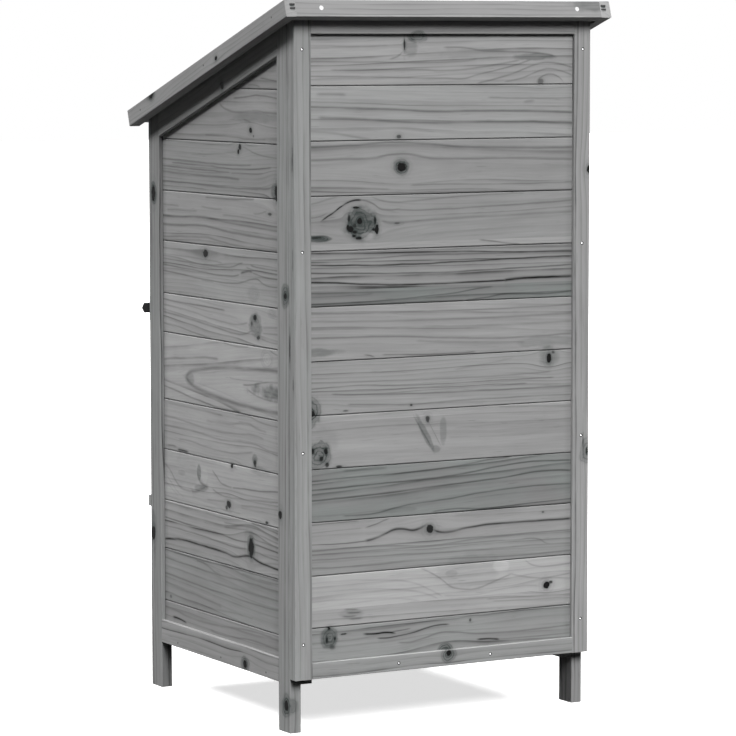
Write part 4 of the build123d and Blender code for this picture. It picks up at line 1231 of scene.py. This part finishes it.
def wall_boards(node, along, outer, strips, material, seed):
    """Rebuild a wall's boards with rounded, slightly cupped faces. along is the axis that they run along,
    and outer is the sign of the side that they face."""
    rng = random.Random(seed)
    boxes = islands(node)
    low_corner, high_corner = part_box(node)
    across = 1 - along
    thick = high_corner[across] - low_corner[across]
    surface = high_corner[across] if outer > 0 else low_corner[across]
    start, end = low_corner[along], high_corner[along]
    steps = max(2, round((end - start) / BOARD_STEP))
    limits = [box[0].z for box in boxes]
    if strips is None:
        strips = random_strips(limits, rng)
    breaks = [strip.low * MM for strip in strips]
    mesh = bmesh.new()
    figure = mesh.faces.layers.float_vector.new("figure")
    shade = mesh.faces.layers.float_vector.new("shade")
    seeds = mesh.faces.layers.float.new("seed")
    strip_seeds = [rng.random() for strip in strips]
    for row, (box_low, box_high) in enumerate(boxes):
        last = row == len(boxes) - 1
        top = box_high.z if last else limits[row + 1] - JOINT_GAP
        section = board_section(box_low.z, top, thick, row == 0, last, breaks)
        wave = [rng.uniform(-SWAY_OF_FACE, SWAY_OF_FACE) for part in range(SWAY_WAVES)]
        rings = []
        for step in range(steps + 1):
            turn = 2 * math.pi * step / steps
            sway = sum(part * math.sin((order + 1) * turn / 2 + order) for order, part in enumerate(wave))
            ring = []
            for z, depth in section:
                corner = Vector((0, 0, z))
                corner[along] = start + (end - start) * step / steps
                inward = depth + sway + SETBACK if depth < thick / 4 else depth
                corner[across] = surface - outer * max(0.0, inward)
                ring.append(mesh.verts.new(corner))
            rings.append(ring)
        sides, ends = close_tube(mesh, rings)
        for face in sides + ends:
            z = face.calc_center_median().z
            number = max([0] + [index for index, low in enumerate(breaks) if low <= z])
            strip = strips[number]
            face[figure] = Vector((strip.pith * MM, strip.lean, strip.spacing * MM))
            face[shade] = Vector((to_linear(strip.grey), strip.green, strip.contrast))
            face[seeds] = strip_seeds[number]
            face.smooth = face not in ends
    trim_to_roof(mesh, node, along)
    bmesh.ops.recalc_face_normals(mesh, faces=mesh.faces)
    return mesh_piece(node + ".timber", mesh, material, node)


def trim_to_roof(mesh, node, along):
    """Cut side boards along the slope that the CAD boards have."""
    if along == 0:
        return
    verts = [vert.co for vert in nodes[node].data.vertices]
    front = min(place.y for place in verts)
    back = max(place.y for place in verts)
    front_top = max(place.z for place in verts if place.y < front + MM)
    back_top = max(place.z for place in verts if place.y > back - MM)
    run = Vector((0, back - front, back_top - front_top))
    cut = bmesh.ops.bisect_plane(
        mesh,
        geom=mesh.verts[:] + mesh.edges[:] + mesh.faces[:],
        plane_co=Vector((0, front, front_top)),
        plane_no=Vector((0, -run.z, run.y)).normalized(),
        clear_outer=True,
    )
    edges = [item for item in cut["geom_cut"] if isinstance(item, bmesh.types.BMEdge)]
    bmesh.ops.holes_fill(mesh, edges=edges)


def mesh_piece(name, mesh, material, *replaced):
    """Turn a bmesh into a piece that stands for CAD nodes, on their body and with the given material."""
    data = bpy.data.meshes.new(name)
    mesh.to_mesh(data)
    mesh.free()
    data.materials.append(material)
    piece = bpy.data.objects.new(name, data)
    scene.collection.objects.link(piece)
    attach(piece, node_body[replaced[0]])
    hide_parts(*replaced)
    return piece


# A sunk screw: radii and depths below the surface, from the middle of its head to the tip of its shank.
# The ring from the rim of the head to the edge of the hole is painted near black, as painted shade in the
# hole.
SCREW_HEAD = ((0.0, 0.2), (0.9, 0.25), (1.3, 0.5))
SCREW_GROOVE = ((1.4, 1.1), (2.4, 1.1), (2.6, 0.1))
SCREW_SHANK = ((2.6, 1.2), (1.5, 1.6), (1.5, 28.0), (0.0, 30.0))
SCREW_SIDES = 20
GROOVE_RINGS = range(len(SCREW_HEAD) - 1, len(SCREW_HEAD) + len(SCREW_GROOVE) - 1)


def sunk_screws(node, material):
    """Rebuild a node's screws, which go in along -Y, with a bright head in a hole whose walls are painted
    dark as painted shade.
    """
    mesh = bmesh.new()
    groove = mesh.faces.layers.float.new("groove")
    for low, high in islands(node):
        middle = (low + high) / 2
        rings = []
        for radius, depth in SCREW_HEAD + SCREW_GROOVE + SCREW_SHANK:
            sides = SCREW_SIDES if radius else 1
            ring = []
            for side in range(sides):
                turn = 2 * math.pi * side / sides
                out = Vector((math.cos(turn), 0, math.sin(turn))) * radius * MM
                ring.append(mesh.verts.new(Vector((middle.x, high.y - depth * MM, middle.z)) + out))
            rings.append(ring)
        for index, (inner, outer) in enumerate(zip(rings, rings[1:])):
            for side in range(SCREW_SIDES):
                after = (side + 1) % SCREW_SIDES
                turns = ((inner, side), (outer, side), (outer, after), (inner, after))
                corners = [ring[number % len(ring)] for ring, number in turns]
                face = mesh.faces.new(list(dict.fromkeys(corners)))
                face.smooth = True
                face[groove] = float(index in GROOVE_RINGS)
    bmesh.ops.recalc_face_normals(mesh, faces=mesh.faces)
    return mesh_piece(node + ".heads", mesh, material, node)


STAPLE_BOLDNESS = 1.9


def bold_staples(node, material):
    """The staples by the roof's corners, of a flatter and taller wire than the plain CAD one."""
    mesh = bmesh.new()
    mesh.from_mesh(nodes[node].data)
    middles = [(low.z + high.z) / 2 for low, high in islands(node)]
    for vert in mesh.verts:
        middle = min(middles, key=lambda z: abs(z - vert.co.z))
        vert.co.z = middle + (vert.co.z - middle) * STAPLE_BOLDNESS
    return mesh_piece(node + ".bold", mesh, material, node)


def staple_darkening(node):
    """Dark blooms round the staples, stronger round the upper ones."""
    places = []
    for low, high in islands(node):
        middle = (low + high) / 2
        places.append(Vector((middle.x, high.y, middle.z)) / MM)
    upper = max(place.z for place in places) - STAPLE_ROW
    return tuple(
        Bloom(place, STAPLE_DARK_RADII, UPPER_STAPLE_DARK if place.z > upper else LOWER_STAPLE_DARK, 0.0) for place in places
    )


def random_knots(node, along, count, seed):
    """Knots of a wall that the photograph doesn't show."""
    rng = random.Random(seed)
    low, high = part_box(node)
    return [
        Knot(
            along=rng.uniform(low[along], high[along]) / MM,
            height=rng.uniform(low.z, high.z) / MM,
            size=rng.uniform(3, 10),
            stretch=rng.uniform(0.8, 1.4),
            reach=rng.uniform(2.2, 3.6),
            dark=rng.uniform(0.7, 1.0),
        )
        for knot in range(count)
    ]


left_knots = random_knots("left_boards", along=1, count=11, seed=4)
door_knots = random_knots("door_boards", along=0, count=10, seed=9)
back_wood = board_material("back boards", "X", BACK_KNOTS, BACK_DISCS, BACK_LINES)
right_wood = board_material("right boards", "Y", RIGHT_KNOTS, RIGHT_DISCS, RIGHT_LINES)
left_wood = board_material("left boards", "Y", left_knots, (), ())
door_wood = board_material("door boards", "X", door_knots, (), ())
wall_boards("back_boards", along=0, outer=1, strips=BACK_STRIPS, material=back_wood, seed=1)
wall_boards("right_boards", along=1, outer=1, strips=RIGHT_STRIPS, material=right_wood, seed=2)
wall_boards("left_boards", along=1, outer=-1, strips=None, material=left_wood, seed=3)
wall_boards("door_boards", along=0, outer=-1, strips=None, material=door_wood, seed=4)

# Frame timbers, metal and felt keep their CAD shapes, apart from the staples and the sunk screws.
BLACK = (0.018, 0.018, 0.019, 1.0)
DARK_STEEL = (0.012, 0.012, 0.012, 1.0)
ZINC = (0.93, 0.93, 0.94, 1.0)
PITH_BESIDE = 0.3
black_paint = plain_metal("black satin metal", BLACK, metallic=0.0, roughness=0.45, grit=400.0, gloss=0.2)
dull_steel = plain_metal("dull steel", DARK_STEEL, metallic=0.0, roughness=0.6, grit=900.0)
bold_staples("fascia_staples", dull_steel)
slope_blooms = SLOPE_BLOOMS + staple_darkening("fascia_staples")
post_wood = frame_material("upright timber", "Z", POST_BLEMISHES, POST_BLOOMS, 0.0)
cross_wood = frame_material("cross timber", "X", CROSS_RAIL_BLEMISHES, CROSS_BLOOMS, PITH_BESIDE)
side_wood = frame_material("side timber", "Y", SIDE_RAIL_BLEMISHES, SIDE_RAIL_BLOOMS, PITH_BESIDE)
slope_wood = frame_material("sloping timber", "Y", SLOPE_BLEMISHES, slope_blooms, PITH_BESIDE, ROOF_SLOPE)
zinc = plain_metal("bright zinc", ZINC, metallic=1.0, roughness=0.3, grit=900.0)
sunk_zinc = plain_metal("sunk zinc", ZINC, metallic=1.0, roughness=0.3, grit=900.0, painted_shade_part="groove")
felt = felt_material()
sunk_screws("back_panel_screws", sunk_zinc)

# Greys as displayed, for the frame timbers that the photograph shows
TIMBER_GREYS = {
    "back_left_stile": 0.587, "back_right_stile": 0.572, "back_bottom_rail": 0.58, "back_top_rail": 0.58,
    "rear_right_post": 0.545, "front_right_post": 0.52, "right_bottom_rail": 0.555, "right_top_rail": 0.56,
    "back_fascia": 0.528, "right_fascia": 0.55,
}
FASCIA_STREAKS = 0.45
INNER_GREY = 0.60
OUTER_GREY = 0.57
GREY_SPREAD = 0.03
STAIN_CHOICE = (0.0, 0.0, 0.3)
WOOD_BY_NAME = (
    ("post", post_wood), ("stile", post_wood), ("stop", post_wood),
    ("left_bottom_rail", side_wood), ("right_bottom_rail", side_wood),
    ("left_top_rail", slope_wood), ("right_top_rail", slope_wood), ("left_fascia", slope_wood),
    ("right_fascia", slope_wood), ("roof_deck", slope_wood), ("cleat", side_wood), ("bearer", side_wood),
)
SLOT_FINISH = {
    "black_metal": black_paint, "zinc_plated_steel": zinc, "dull_steel": dull_steel, "roofing_felt": felt,
}
timber_rng = random.Random(11)
for name in sorted(nodes):
    slot = node_slot[name]
    item = nodes[name]
    if slot == "weathered_boards":
        continue
    finish = SLOT_FINISH.get(slot)
    if finish is None:
        finish = next((wood for part, wood in WOOD_BY_NAME if part in name), cross_wood)
        base = INNER_GREY if slot == "inner_wood" else OUTER_GREY
        grey = TIMBER_GREYS.get(name, base + timber_rng.uniform(-GREY_SPREAD, GREY_SPREAD))
        streaks = FASCIA_STREAKS if "fascia" in name else 1.0
        item.color = (to_linear(grey), timber_rng.choice(STAIN_CHOICE), timber_rng.random(), streaks)
    item.data.materials.clear()
    item.data.materials.append(finish)


# Studio

WHITE = (1.0, 1.0, 1.0, 1.0)


def white_for_camera(w):
    """1 for what is seen directly, in a mirror or through glass; 0 for light on the object."""
    path = w.node("ShaderNodeLightPath").outputs
    seen = w.math("MAXIMUM", path["Is Camera Ray"], path["Is Glossy Ray"])
    return w.math("MAXIMUM", seen, path["Is Transmission Ray"])


def make_world():
    """A white surround that gives the object only a little light."""
    world = bpy.data.worlds.new("studio")
    world.use_nodes = True
    w = Wiring(world.node_tree)
    back = next(node for node in world.node_tree.nodes if node.type == "BACKGROUND")
    back.inputs["Color"].default_value = WHITE
    w.feed(back.inputs["Strength"], w.scaled(white_for_camera(w), 1.0 - WORLD_LEVEL, WORLD_LEVEL))
    scene.world = world


def make_floor():
    """A pale floor that takes the shadow, fades to white and throws little light back."""
    mesh = bmesh.new()
    bmesh.ops.create_grid(mesh, x_segments=4, y_segments=4, size=FLOOR_SIZE / 2)
    data = bpy.data.meshes.new("floor")
    mesh.to_mesh(data)
    mesh.free()
    floor = bpy.data.objects.new("floor", data)
    scene.collection.objects.link(floor)
    material, w, shader = new_material("pale floor")
    seen = white_for_camera(w)
    w.feed(shader.inputs["Base Color"], w.grey(w.scaled(seen, FLOOR_GREY - FLOOR_BOUNCE, FLOOR_BOUNCE)))
    shader.inputs["Roughness"].default_value = 1.0
    shader.inputs["Specular IOR Level"].default_value = 0.0
    shader.inputs["Emission Color"].default_value = WHITE
    away = w.vector("LENGTH", w.object_place())
    glow = w.band(away, FLOOR_FADE[0], FLOOR_FADE[1], FLOOR_GLOW_NEAR, FLOOR_GLOW_FAR)
    w.feed(shader.inputs["Emission Strength"], w.times(seen, glow))
    data.materials.append(material)


def make_lamp(name, direction, power, angle):
    """A soft lamp that shines from a direction. The angle is how wide it looks from the object."""
    lamp = bpy.data.lights.new(name, "SUN")
    lamp.angle = math.radians(angle)
    lamp.energy = power
    light = bpy.data.objects.new(name, lamp)
    light.location = direction.normalized() * LAMP_DISTANCE
    light.rotation_euler = direction.to_track_quat("Z", "Y").to_euler()
    scene.collection.objects.link(light)


def make_camera():
    """The photograph's camera."""
    lens = bpy.data.cameras.new("camera")
    lens.sensor_width = SENSOR_WIDTH
    lens.lens = SENSOR_WIDTH * FOCAL_PIXELS / IMAGE_SIZE
    camera = bpy.data.objects.new("camera", lens)
    turn = Matrix.Rotation(math.radians(CAMERA_TURN), 4, "Z")
    tilt = Matrix.Rotation(math.radians(90 - CAMERA_TILT), 4, "X")
    roll = Matrix.Rotation(math.radians(CAMERA_ROLL), 4, "Z")
    camera.matrix_world = Matrix.Translation(CAMERA_PLACE) @ turn @ tilt @ roll
    scene.collection.objects.link(camera)
    scene.camera = camera


make_world()
make_floor()
make_lamp("back lamp", BACK_LAMP_DIRECTION, BACK_LAMP_POWER, BACK_LAMP_ANGLE)
make_lamp("side lamp", SIDE_LAMP_DIRECTION, SIDE_LAMP_POWER, SIDE_LAMP_ANGLE)
make_lamp("fill", FILL_DIRECTION, FILL_POWER, FILL_ANGLE)
make_camera()
scene.view_settings.view_transform = "Standard"

bpy.context.view_layer.update()
